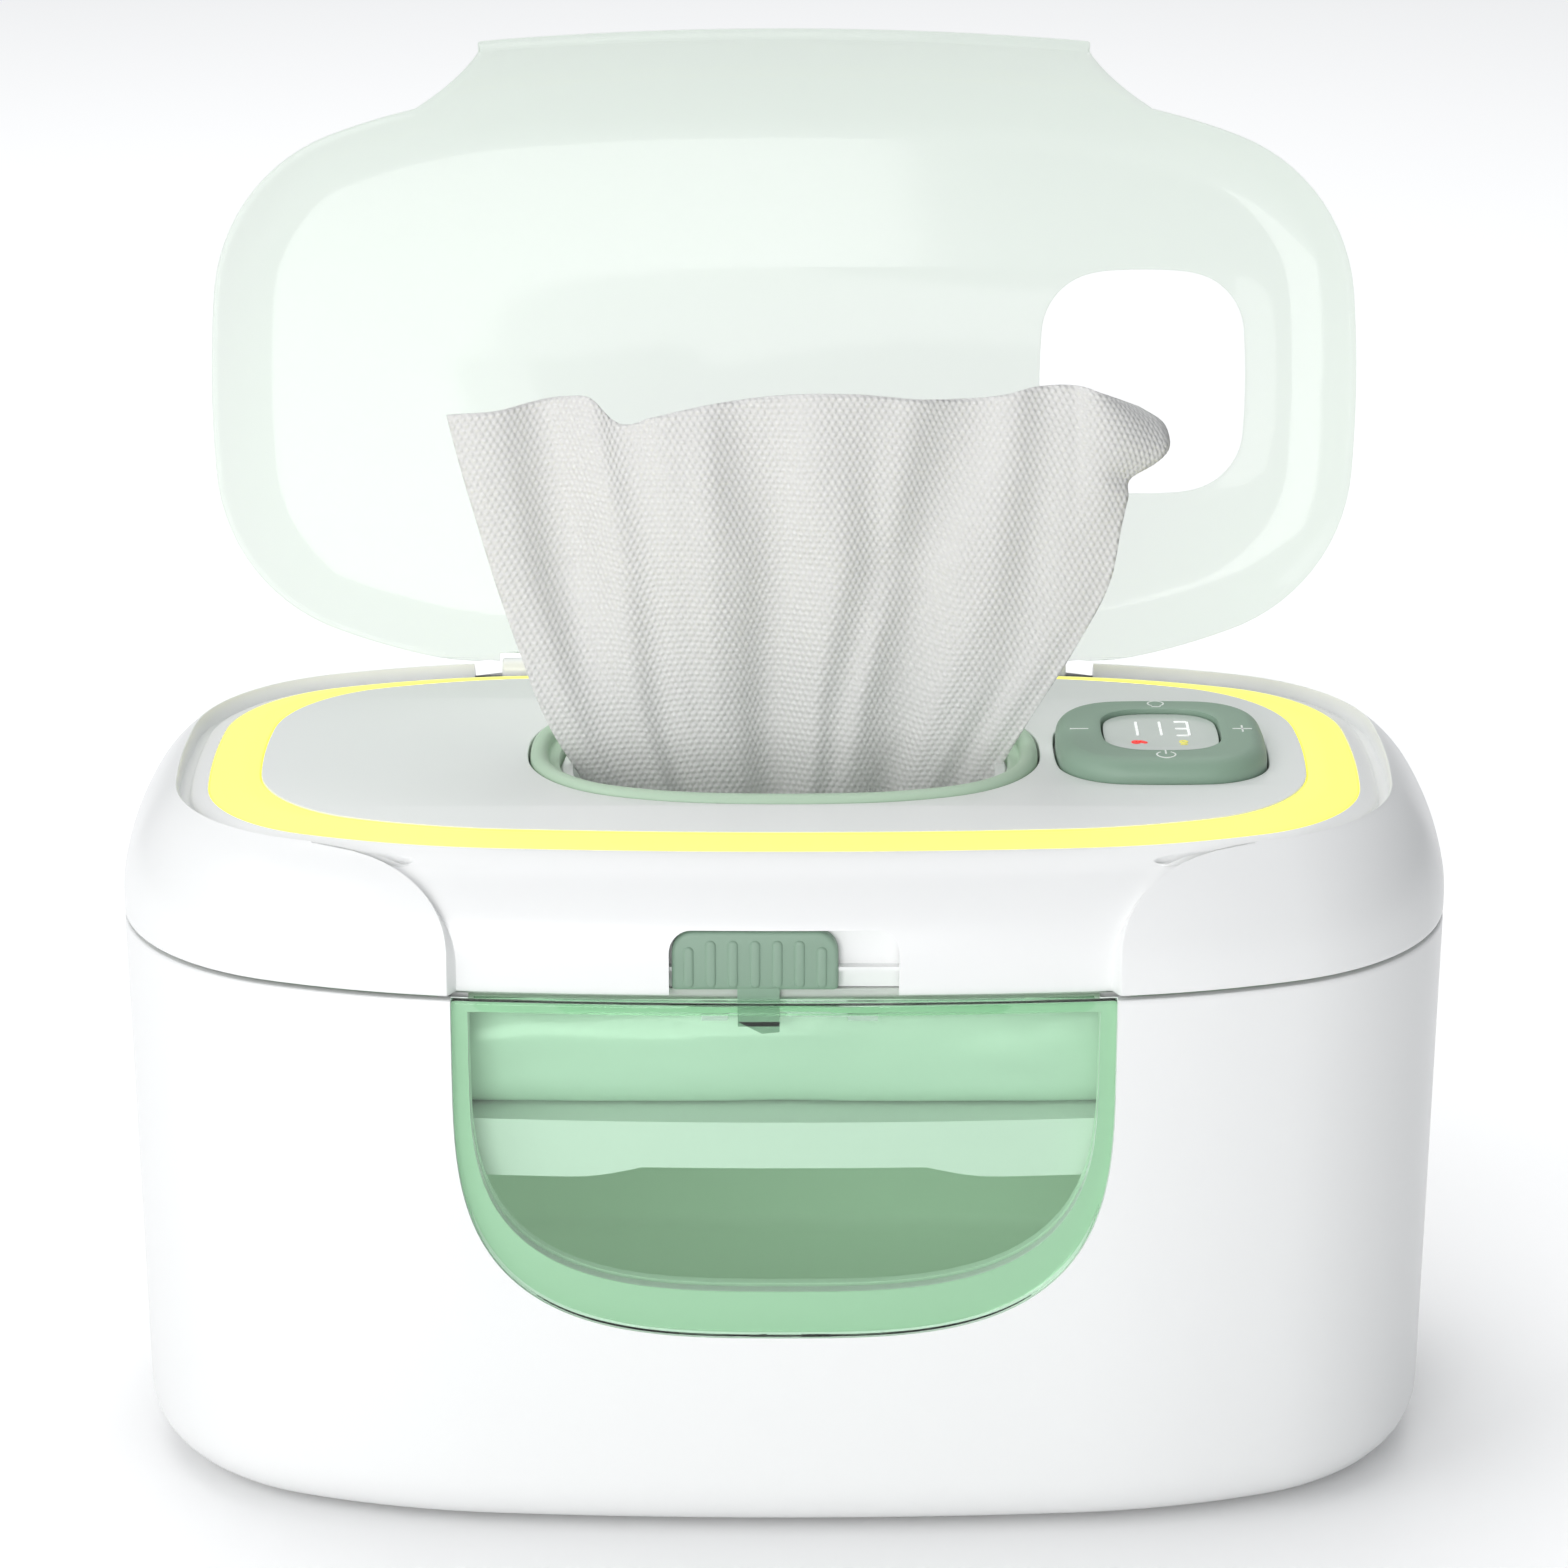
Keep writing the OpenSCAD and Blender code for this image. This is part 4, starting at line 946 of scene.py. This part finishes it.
def signs(name, strokes):
    """One mesh from several strokes."""
    points, faces = [], []
    for some, more in strokes:
        faces += [tuple(i + len(points) for i in f) for f in more]
        points += some
    return build(name, points, faces, sharp=30)


def circle(x, y, radius, start=0, end=360):
    turn = np.radians(np.linspace(start, end, 28, endpoint=end - start < 360))
    return [(x + radius * math.cos(t), y + radius * math.sin(t)) for t in turn]


# %% Figures on the display
FIGURE_LOW, FIGURE_HIGH = 136.05, 136.24
SEGMENTS = {"a": ((0, 2), (1, 2)), "b": ((1, 2), (1, 1)), "c": ((1, 1), (1, 0)),
            "d": ((0, 0), (1, 0)), "g": ((0, 1), (1, 1))}
WIDE, TALL = 2.6, 4.2                                       # one figure: width and half height
bars = []
for x, lit in ((64.6, "bc"), (69.1, "bc"), (74.4, "abgcd")):
    for key in lit:
        (u0, v0), (u1, v1) = SEGMENTS[key]
        p0, p1 = Vector((x + u0 * WIDE, -1.6 + v0 * TALL)), Vector((x + u1 * WIDE, -1.6 + v1 * TALL))
        trim = (p1 - p0).normalized() * 0.35
        bars.append(stroke([p0 + trim, p1 - trim], 0.5, FIGURE_LOW, FIGURE_HIGH))
figures = signs("display_figures", bars)
dress(figures, figure_white, "cover", "icon")
warm = signs("warm_sign", [stroke(circle(66.6, -5.6, 0.55), 0.7, FIGURE_LOW, FIGURE_HIGH, closed=True),
                           stroke([(67.5, -5.2), (68.3, -5.9)], 0.9, FIGURE_LOW, FIGURE_HIGH)])
dress(warm, sign_red, "cover", "icon")
lamp_lit = signs("lamp_sign", [stroke(circle(75.6, -5.4, 0.6), 0.5, FIGURE_LOW, FIGURE_HIGH, closed=True),
                               stroke([(75.1, -6.9), (76.1, -6.9)], 0.4, FIGURE_LOW, FIGURE_HIGH)])
dress(lamp_lit, sign_yellow, "cover", "icon")

# %% Signs on the keys
SIGN_LOW, SIGN_HIGH = 136.9, 137.06
SHIFT = 15.5                                 # from the pad's middle to the signs at its sides


def key_line(start, end, width=0.32, sink=(0, 0)):
    """A straight stroke between two places given from the middle of the pad."""
    return stroke([(PAD_X + x, y) for x, y in (start, end)], width, SIGN_LOW - sink[0], SIGN_HIGH - sink[1])


strokes = [key_line((-17.1, 0), (-13.9, 0), 0.36), key_line((13.8, 0), (17.2, 0), 0.36),
           key_line((SHIFT, -1.8), (SHIFT, 1.8), 0.36),
           stroke(circle(PAD_X, -15.6, 1.75, 125, 415), 0.32, SIGN_LOW - 0.25, SIGN_HIGH - 0.03),
           key_line((0, -15.2), (0, -13.2)),
           stroke(circle(PAD_X, 15.6, 1.5, -55, 235), 0.32, SIGN_LOW - 0.25, SIGN_HIGH - 0.03),
           key_line((-0.75, 13.6), (0.75, 13.6))]
for turn in (30, 90, 150):
    x, y = math.cos(math.radians(turn)), math.sin(math.radians(turn))
    strokes.append(key_line((2.1 * x, 15.6 + 2.1 * y), (2.6 * x, 15.6 + 2.6 * y), 0.26, sink=(0.3, 0.1)))
key_signs = signs("key_signs", strokes)
dress(key_signs, sign_white, "pad", "icon", "key_icons")

# %% [markdown]
# ## The latch
# The latch is a soft green button that slides in the front panel. Its face has seven pill-shaped
# grips, its edge is rounded, and a hook hangs behind it. The button's outline is wide below
# and rounded above; it is drawn once and shrunk for the rounding of the edge.

# %% Latch
LATCH_X = -5.2


def button_outline(grow):
    """(x, z) outline of the button, moved outward by `grow`."""
    low, shoulder, top, corner = 108.9, 116.0, 120.0, 4.0
    turn = np.radians(np.linspace(0, 90, 12))
    r = corner + grow
    points = [(15 + grow - 0.8 + 0.8 * math.sin(t), low - grow + 0.8 - 0.8 * math.cos(t)) for t in turn]
    points += [(11 + r * math.cos(t), shoulder + r * math.sin(t)) for t in turn]
    return points + [(-x, z) for x, z in reversed(points)]


def capsule(half, low, top):
    """(x, z) outline of a pill: straight sides and round ends."""
    turn = np.linspace(0, math.pi, 14)
    return ([(half * math.cos(t), top + half * math.sin(t)) for t in turn] +
            [(-half * math.cos(t), low - half * math.sin(t)) for t in turn])


def layered(name, layers, x):
    """A solid from matching (x, z) outlines at growing depths y."""
    rows = [[(px + x, y, pz) for px, pz in outline] for outline, y in layers]
    return build(name, np.concatenate(rows), ends(rows) + band(rows))


BUTTON_EDGE = ((-0.9, -66.0), (-0.45, -65.92), (-0.15, -65.7), (0, -65.4), (0, -63.75))   # growth, depth
GRIP_EDGE = ((0.45, -66.35), (0.75, -66.27), (0.9, -66.1), (0.98, -65.9))                 # half width, depth
parts = [layered("button", [(button_outline(grow), y) for grow, y in BUTTON_EDGE], LATCH_X)]
for k in range(-3, 4):
    top = 116.3 if abs(k) == 3 else 117.5
    parts.append(layered("grip_%d" % (k + 3), [(capsule(half, 110.3, top), y) for half, y in GRIP_EDGE],
                         LATCH_X + 4 * k))
parts.append(block("hook_arm", -8.4, -0.8, -65.8, -64.6, 102, 109.6))
parts.append(prism("hook_tip", [(-8.4, 102.9), (-4, 100.6), (-0.8, 100.9), (-0.8, 102.9)], -65.8, -62.5))
button = join("latch_button", parts)
dress(button, sage, "latch", "grey_green", "latch_slider")

# %% [markdown]
# ## The clear lid
# The lid is one thin clear moulding. It is drawn closed, where it follows the cover, and then
# turned up about its hinge. Its skin is a dome over the same outline as the tub, with a hole
# for the key pad and a tongue at the front. The outer and inner skins are made from the same
# rows, so the wall has one thickness, and a small rounding joins them along every edge.

# %% Lid skin
LID_T, LID_TOP, LID_RIM = 2.2, SHOULDER_Z + SHOULDER_R, 130.7
TONGUE_HALF, TONGUE_LOW, TONGUE_RUN = 58.8, TUB_TOP + 1.4, 18.6
TONGUE_COLUMNS, BACK_COLUMNS = 81, 150
rim_turn = math.degrees(math.acos((SHOULDER_R - 11.0) / SHOULDER_R))
shares = np.sin(np.linspace(-1, 1, TONGUE_COLUMNS) * math.pi / 2)           # closer together at the flanks
low_rows = [TONGUE_LOW, 109.1, 109.9, 110.9, 112]
turn_rows = np.concatenate([np.linspace(3, rim_turn - 6, 22), rim_turn - np.array([3.5, 1.6, 0.4, 0])])


def skin_point(angle, turn, radius):
    """A point of the dome: direction of the outline's normal, turn up from level, in degrees."""
    inset = SHOULDER_R - radius * math.cos(math.radians(turn))
    x, y = body.at(angle, inset)
    return (float(x), float(y), SHOULDER_Z + radius * math.sin(math.radians(turn)))


def tongue_angles(height, inset):
    """Normal angles of the tongue's columns at a height, from its left flank to its right."""
    reach = np.abs(shares) * flared(height, TONGUE_HALF, TONGUE_RUN)
    return np.sign(shares) * (90 + body.angle_at_x(reach, inset)) - 90


def lid_skin(radius):
    """Tongue rows, then dome rows, of one skin; radius is the arc's, outer or inner."""
    thick = SHOULDER_R - radius
    tongue = [[(float(x), float(y), z) for x, y in body.at(tongue_angles(z, 0), thick)] for z in low_rows]
    for turn in turn_rows:
        z = SHOULDER_Z + SHOULDER_R * math.sin(math.radians(turn))
        inset = SHOULDER_R - SHOULDER_R * math.cos(math.radians(turn))
        front = tongue_angles(z, inset)
        tongue.append([skin_point(a, turn, radius) for a in front])
    rest = body.even(BACK_COLUMNS, front[-1], 360 + front[0], inset=11, closed=False)[1:-1]
    around = np.concatenate([front, rest])
    behind = np.clip((62.5 - np.abs(body.at(around, 12)[:, 0])) / 1.0, 0, 1) * (np.sin(np.radians(around)) > 0)
    lowest = rim_turn + 2.9 * behind                                        # straight back edge by the hinge
    dome = [[skin_point(a, max(turn, low), radius) for a, low in zip(around, lowest)]
            for turn in np.concatenate([[rim_turn], np.linspace(rim_turn + 1.2, 90, 16)])]
    return tongue, dome


print("lid wall %.1f mm, rim turned up %.1f degrees" % (LID_T, rim_turn))

# %% [markdown]
# Each skin is a grid for the tongue and a ring of rows for the dome, with a flat top round the
# hole. Between the two skins, a few loops of points round the edge off. Where the rim stands in
# the cover's groove, these loops reach down to its foot; elsewhere they swell out a little.

# %% Lid mesh
lid_hole = Outline(12.4, (75, 7.5, 125), 16, (PAD_X, 0))
hole_angles = lid_hole.even(120)


def add_skin(points, faces, radius, top):
    """Adds one skin, and returns the point numbers of its border and of its hole."""
    tongue, dome = lid_skin(radius)
    rows, wide, around = len(tongue) - 1, len(tongue[0]), len(dome[0])
    start = len(points)
    points += [p for row in tongue[:-1] for p in row]
    faces += band(tongue[:-1], close_around=False, start=start)
    dome_start = len(points)
    points += [p for row in dome for p in row]
    faces += band(dome, start=dome_start)
    last = start + (rows - 1) * wide                              # tongue's last row meets the dome's first
    faces += [(last + c, last + c + 1, dome_start + c + 1, dome_start + c) for c in range(wide - 1)]
    hole_start = len(points)
    hole = [tuple(p) for p in row_at(lid_hole.at(hole_angles, -0.35), top)]
    points += hole
    faces += flat_fill([dome[-1], hole], [dome_start + (len(dome) - 1) * around, hole_start])
    border = [start + c for c in range(wide)]                                     # bottom, left to right
    border += [start + r * wide + wide - 1 for r in range(1, rows)]               # right flank, upward
    border += [dome_start + c for c in range(wide - 1, around)] + [dome_start]    # rim, round the back
    border += [start + r * wide for r in range(rows - 1, 0, -1)]                  # left flank, downward
    return border, range(hole_start, hole_start + len(hole))


def rounded_edge(outer, inner):
    """Loops of points from the outer border to the inner one, that round the sheet's edge."""
    length, rows = len(outer), len(low_rows) + len(turn_rows) - 1
    weight = np.zeros(length)                                     # 1 where the rim stands in the groove
    weight[TONGUE_COLUMNS + rows - 1:length - (rows - 1)] = 1
    weight[(outer[:, 1] > 30) & (np.abs(outer[:, 0]) < 63)] = 0
    kernel = np.array([1, 2, 3, 2, 1]) / 9
    weight = np.convolve(np.concatenate([weight[-2:], weight, weight[:2]]), kernel, "valid")
    along = np.roll(outer, -1, 0) - np.roll(outer, 1, 0)
    along /= np.linalg.norm(along, axis=1, keepdims=True)
    away = np.cross(along, (outer - inner) / LID_T)               # out of the sheet, at its edge
    foot = np.column_stack([outer[:, :2], np.full(length, LID_RIM)]) - (outer + inner) / 2
    loops = []
    for share, out, corner in ((0.04, 0.22, 0.05), (0.14, 0.36, 0.25), (0.32, 0.42, 0.62), (0.5, 0.42, 0.86),
                               (0.68, 0.42, 0.62), (0.86, 0.36, 0.25), (0.96, 0.22, 0.05)):
        side = outer * (1 - share) + inner * share
        loops.append(side + away * (out * (1 - weight))[:, None] + foot * (corner * weight)[:, None])
    return loops


def add_loops(points, faces, first, loops, last):
    """Faces from one loop of point numbers, over new loops of points, to another loop."""
    for extra in loops:
        new = range(len(points), len(points) + len(first))
        points += [tuple(p) for p in extra]
        faces += bridge(first, new)
        first = new
    faces += bridge(first, last)


points, faces = [], []
outer_border, outer_hole = add_skin(points, faces, SHOULDER_R, LID_TOP)
inner_border, inner_hole = add_skin(points, faces, SHOULDER_R - LID_T, LID_TOP - LID_T)
outer, inner = (np.array([points[i] for i in border]) for border in (outer_border, inner_border))
add_loops(points, faces, outer_border, rounded_edge(outer, inner), inner_border)
hole_edge = ((-0.1, LID_TOP - 0.1), (0, LID_TOP - 0.35), (0, LID_TOP - LID_T + 0.35), (-0.1, LID_TOP - LID_T + 0.1))
add_loops(points, faces, outer_hole, swept(lid_hole, hole_edge, hole_angles), inner_hole)
lid = build("lid_skin", points, faces, sharp=60)
print("lid skin:", len(lid.data.polygons), "faces; open edges:", open_edges(lid))

# %% [markdown]
# Two hinge barrels are fused to the back edge, and two notches make room for the cover's pin
# posts. The finished lid is then turned open by 100 degrees about the hinge line.

# %% Lid hinge and turn
LID_OPEN = 100
for x, hand in ((17.1, 1), (50.5, -1)):
    for side, x0, x1 in both_sides(x, x + 6.5):
        cut(lid, block("notch", x0, x1, 54.2, 75, 125, 134.2))
    x0, x1 = sorted((hand * 61.5, hand * 74))
    cut(lid, tube_x("relief", x0, x1, LID_Y, LID_Z, 2.3, soft=0.02))
barrels = [tube_x("lid_barrel_%d" % side, x0, x1, LID_Y, LID_Z, LID_R) for side, x0, x1 in both_sides(23.7, 50.3)]
lid = join("clear_lid", [lid] + barrels)
lid_line = Vector((0, LID_Y, LID_Z)) * MM
lid.data.transform(Matrix.Translation(lid_line) @ Matrix.Rotation(math.radians(-LID_OPEN), 4, "X") @
                   Matrix.Translation(-lid_line))
dress(lid, clear_lid_green, "lid_body", "clear_lid", "lid")

# %% [markdown]
# ## The embossed cloth, as a node group
# A wipe is a soft non-woven sheet with rows of small raised dots, 1.35 mm apart. The mesh
# stores, at each point, where it lies on the flat sheet in millimetres, so the dots follow
# the folds and keep their size. Three waves at 60 degrees to each other make the dot pattern,
# and the hollows between the dots are painted a darker grey as shade.

# %% Node group: embossed dots
DOT_PITCH = 1.35                             # millimetres between the rows of dots
dots, given, made = new_group(
    "embossed_dots",
    [("Place", "Vector", (0, 0, 0)), ("Pitch", "Float", DOT_PITCH), ("Relief", "Float", 0.5),
     ("Colour", "Color", (0.9, 0.9, 0.9, 1)), ("Hollow Shade", "Color", (0.8, 0.8, 0.8, 1))],
    [("Colour", "Color"), ("Roughness", "Float"), ("Normal", "Vector")])
axes = add_node(dots, "SeparateXYZ", Vector=given.outputs["Place"]).outputs
across, along = (maths(dots, "DIVIDE", axes[name], given.outputs["Pitch"]) for name in "XY")
waves = []
for turn in (90, 30, -30):
    c, s = math.cos(math.radians(turn)), math.sin(math.radians(turn))
    travel = maths(dots, "ADD", maths(dots, "MULTIPLY", across, c * 1.1547), maths(dots, "MULTIPLY", along, s * 1.1547))
    waves.append(maths(dots, "COSINE", maths(dots, "MULTIPLY", travel, 2 * math.pi)))
total = maths(dots, "ADD", maths(dots, "ADD", waves[0], waves[1]), waves[2])
fibres = add_node(dots, "TexNoise", Vector=given.outputs["Place"], Scale=3.2, Detail=4)
height = maths(dots, "MULTIPLY_ADD", total, 0.222, 0.333)
height = maths(dots, "MULTIPLY_ADD", fibres.outputs["Fac"], 0.30, height)
# Low places between the dots take the darker hollow colour: painted shade, mixed with the fibres' random tone.
mix = dots.nodes.new("ShaderNodeMix")
mix.data_type = "RGBA"
connect(dots, mix, Factor=maths(dots, "MINIMUM", maths(dots, "MAXIMUM", height, 0.0), 1.0),
        A=given.outputs["Hollow Shade"], B=given.outputs["Colour"])
bump = add_node(dots, "Bump", Distance=0.00035, Strength=given.outputs["Relief"], Height=height)
connect(dots, made, Colour=mix.outputs["Result"], Roughness=maths(dots, "MULTIPLY_ADD", height, -0.1, 0.85),
        Normal=bump.outputs["Normal"])
print("cloth sockets:", [s.name for s in dots.interface.items_tree])

# %% Cloth of the wipe
# The hollow colour is a darker grey, painted shade between the dots.
wipe_cloth = material_from(
    "wipe_cloth", dots,
    {"Pitch": DOT_PITCH, "Relief": 0.8, "Colour": (0.82, 0.815, 0.80, 1), "Hollow Shade": (0.73, 0.725, 0.71, 1)},
    {"Sheen_Weight": 0.15, "Subsurface_Weight": 0.25, "Subsurface_Radius": (0.002, 0.002, 0.002)})
tree = wipe_cloth.node_tree
flat_place = tree.nodes.new("ShaderNodeAttribute")
flat_place.attribute_name = "flat_place"
connect(tree, tree.nodes["surface"], Place=flat_place.outputs["Vector"])
print("cloth nodes:", [node.name for node in tree.nodes])

# %% [markdown]
# ## The wipe
# The next wipe stands up in the port, pulled out of the pack. It fans out from the port's width
# to more than twice that, falls in long slanting folds, and its upper edge is wavy, with
# a turned-over flap on the left and a curl on the right. The shape is drawn with smooth
# curves: two side edges, an upper edge, and a list of valleys that run up the sheet.

# %% Wipe shape
def smooth_curve(at, values):
    """A cubic curve through some values; returns a function that takes arrays."""
    at, values = np.asarray(at, float), np.asarray(values, float)
    slopes = np.gradient(values, at)

    def curve(t):
        t = np.clip(np.asarray(t, float), at[0], at[-1])
        k = np.clip(np.searchsorted(at, t) - 1, 0, len(at) - 2)
        h = at[k + 1] - at[k]
        s = (t - at[k]) / h
        return ((1 + 2 * s) * (1 - s) ** 2 * values[k] + s * (1 - s) ** 2 * h * slopes[k] +
                s * s * (3 - 2 * s) * values[k + 1] + s * s * (s - 1) * h * slopes[k + 1])
    return curve


WIPE_LOW, WIPE_HIGH = 112.5, 200.0
side_heights = [112.5, 124.6, 138.7, 152.6, 166.4, 178.1, 188, 200]
left_edge = smooth_curve(side_heights, [-30.0, -37.0, -45.0, -50.0, -54.4, -57.6, -60.2, -63.0])
right_edge = smooth_curve(side_heights, [31.0, 38.5, 47.2, 56.0, 62.8, 64.2, 65.0, 64.5])
upper_edge = smooth_curve([-1, -0.84, -0.66, -0.56, -0.49, -0.40, -0.24, -0.07, 0.2, 0.42, 0.64, 0.75, 0.86, 0.94, 1],
                          [-1.0, -0.2, 2.6, 1.8, -2.6, -1.6, 0.6, 2.4, 2.9, 1.9, 3.0, 4.6, 4.4, 2.2, 0.5])
lobe = smooth_curve([0, 0.80, 0.85, 0.875, 0.90, 0.94, 0.97, 1.0], [0, 0, 0.6, 4.4, 7.0, 7.6, 6.4, 2.4])
VALLEYS = (                                                # place at 4 heights, width, depth at 4 heights
    ((-0.80, -0.76, -0.74, -0.72), 0.105, (0.5, 1.5, 5.2, 4.2)),
    ((-0.52, -0.50, -0.46, -0.49), 0.075, (2.6, 1.6, 0.8, 2.8)),
    ((-0.07, -0.05, -0.02, -0.13), 0.115, (3.4, 4.6, 4.4, 2.6)),
    ((0.24, 0.20, 0.27, 0.22), 0.065, (0.4, 1.6, 1.8, 0.4)),
    ((0.54, 0.44, 0.40, 0.53), 0.10, (4.0, 4.2, 4.6, 4.2)),
    ((0.86, 0.78, 0.74, 0.77), 0.07, (1.6, 1.2, 2.2, 1.6)))
HEIGHTS_AT = (0.0, 0.35, 0.65, 1.0)


def wipe_point(u, v):
    """Places on the wipe in millimetres, for u from -1 to 1 across and v from 0 to 1 up."""
    z = WIPE_LOW + (WIPE_HIGH - WIPE_LOW) * v
    left, right = left_edge(z), right_edge(z)
    x = np.where(u < 0, -u * left, u * right)
    y = 2.5 - 9 * v + 14 * v * v * u * u
    for spots, width, depths in VALLEYS:
        spot, depth = np.interp(v, HEIGHTS_AT, spots), np.interp(v, HEIGHTS_AT, depths)
        far = (u - spot) / width
        y += depth * np.exp(-far * far)
        x += depth * 0.35 * far * np.exp(-far * far)
    y += (0.15 + 0.25 * v) * np.sin(19 * u + 3.1 * np.sin(2.6 * v)) + 0.12 * np.sin(43 * u - 5 * v)
    y += 0.9 * v * np.sin(7.5 * v + 4 * u)
    z = z + upper_edge(u) * np.clip((v - 0.35) / 0.65, 0, 1) ** 2
    curl = np.clip((u - 0.84) / 0.16, 0, 1)                    # right corner is a curled lobe
    x += curl ** 1.6 * lobe(v)
    y += 6.0 * curl ** 2 * np.clip((v - 0.82) / 0.18, 0, 1)
    y -= 4.0 * np.sin(curl * math.pi) * np.clip((v - 0.7) / 0.3, 0, 1)
    flap = np.clip((-0.70 - u) / 0.30, 0, 1) * np.clip((v - 0.55) / 0.45, 0, 1)
    y -= 7.0 * flap ** 1.2                                     # left corner leans forward
    z = z - 0.26 * (y + 2)                                     # heights were read on a level plane
    return np.stack([x, y, z], -1)


WIPE_COLUMNS, WIPE_ROWS, WIPE_THICK = 170, 120, 0.45
us, vs = np.meshgrid(np.linspace(-1, 1, WIPE_COLUMNS), np.linspace(0, 1, WIPE_ROWS))
middle = wipe_point(us, vs)
step_u, step_v = np.gradient(middle, axis=1), np.gradient(middle, axis=0)
facing = np.cross(step_u, step_v)
sizes = np.linalg.norm(facing, axis=2, keepdims=True)
length_u = np.linalg.norm(np.diff(middle, axis=1), axis=2)
flat_x = np.concatenate([np.zeros((WIPE_ROWS, 1)), np.cumsum(length_u, axis=1)], axis=1)
flat_x -= flat_x[:, WIPE_COLUMNS // 2: WIPE_COLUMNS // 2 + 1]
length_v = np.linalg.norm(np.diff(middle, axis=0), axis=2)
flat_y = np.concatenate([np.zeros((1, WIPE_COLUMNS)), np.cumsum(length_v, axis=0)], axis=0)
flat_width = flat_x[-1, -1] - flat_x[-1, 0]

# %% Wipe mesh
count = WIPE_COLUMNS * WIPE_ROWS
lift = facing / sizes * WIPE_THICK / 2
points = np.concatenate([(middle + lift).reshape(-1, 3), (middle - lift).reshape(-1, 3)])
ring = edge_of(middle)
faces = band(middle, close_around=False) + band(middle, close_around=False, start=count)
faces += bridge(ring, [i + count for i in ring])
wipe = build("wipe", points, faces, sharp=180)
print("wipe points kept:", len(wipe.data.vertices) == len(points))
places = wipe.data.attributes.new("flat_place", "FLOAT_VECTOR", "POINT")
flat = np.stack([flat_x, flat_y, np.zeros_like(flat_x)], -1).reshape(-1, 3)
places.data.foreach_set("vector", np.concatenate([flat, flat]).astype(np.float32).ravel())
dress(wipe, wipe_cloth, "cover", "wipe", "wipe_sheet")
flat_width, flat_length = flat_width * MM, float(flat_y.mean(axis=1)[-1]) * MM
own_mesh(wipe)

# %% [markdown]
# ## The pack of wipes
# The pack lies on the tray: a soft film pillow, full in the middle, with rounded corners and
# small creases. Its print is left out; the film is plain pale green. The rings run from
# the middle of the underside, round the side and to the middle of the top.

# %% Pack
PACK_X, PACK_Y, PACK_LOW, PACK_HIGH = 97.6, 56.6, 81.15, 104.6
around = np.linspace(0, 2 * math.pi, 220, endpoint=False)
corner = np.stack([np.sign(way) * np.abs(way) ** 0.36 for way in (np.cos(around), np.sin(around))], -1)
levels = [(s, 0.0) for s in (0.1, 0.3, 0.5, 0.65, 0.78, 0.87, 0.92)]
levels += [(0.92 + 0.08 * math.sin(t), 0.5 - 0.5 * math.cos(t)) for t in np.linspace(0.25, math.pi - 0.25, 22)]
levels += [(s, 1.0) for s in (0.92, 0.87, 0.78, 0.65, 0.5, 0.3, 0.1)]
rings = []
for size, level in levels:
    inset = PACK_X * (1 - size)
    depth = max(PACK_Y - inset * (1 if size > 0.6 else 0.6), PACK_Y * size * 0.8)
    z = PACK_LOW + (PACK_HIGH - PACK_LOW) * level
    soft = min(1, 4 * level * (1 - level) + 0.25)
    rings.append([])
    for x, y in corner * np.array([PACK_X * size, depth]):
        crease = noise.noise(Vector((x * 0.055, y * 0.055, z * 0.16)))
        crease += 0.5 * noise.noise(Vector((x * 0.16, y * 0.16, z * 0.3)))
        sink = 0.25 * crease - 0.35 if level > 0.9 else 0
        give = (1 + crease) * soft
        rings[-1].append((x * (1 - 0.006 * give), y * (1 - 0.012 * give), z + sink))
pack = build("wipe_pack", np.concatenate(rings), band(rings) + ends(rings), sharp=180)
dress(pack, pack_film, "tray", "pack", "wipes_pack")

# %% [markdown]
# ## Floor
# The floor is a wide pale sheet that isn't part of the object. It gives a little light of its
# own to the camera, so the ground reads as white. Close to the object, where less open air is
# seen from the floor, that light fades, so the real shadow under the tub isn't washed out; the
# fade also paints shade on the floor round the tub's foot.

# %% Floor
floor_mesh = bpy.data.meshes.new("floor")
floor_mesh.from_pydata([(-6, -6, 0), (6, -6, 0), (6, 6, 0), (-6, 6, 0)], [], [(0, 1, 2, 3)])
floor = put("floor", floor_mesh)
paper = bpy.data.materials.new("white_paper")
paper.use_nodes = True
tree = paper.node_tree
sheet = connect(tree, tree.nodes["Principled BSDF"], Base_Color=(0.92, 0.92, 0.92, 1), Roughness=0.9,
                Specular_IOR_Level=0.0)
rays = add_node(tree, "LightPath").outputs
seen = maths(tree, "MAXIMUM", rays["Is Camera Ray"], rays["Is Transmission Ray"])
seen = maths(tree, "MAXIMUM", seen, rays["Is Glossy Ray"])
# The floor's own light is scaled by ambient occlusion: near the tub this paints shade on the floor.
near = add_node(tree, "AmbientOcclusion", Distance=0.12)
painted_shade_fade = maths(tree, "POWER", near.outputs["AO"], 1.6)
own = add_node(tree, "Emission", Strength=maths(tree, "MULTIPLY", maths(tree, "MULTIPLY", seen, painted_shade_fade), 0.36))
both = tree.nodes.new("ShaderNodeAddShader")
tree.links.new(sheet.outputs["BSDF"], both.inputs[0])
tree.links.new(own.outputs["Emission"], both.inputs[1])
connect(tree, tree.nodes["Material Output"], Surface=both.outputs["Shader"])
floor.data.materials.append(paper)
print("floor laid")
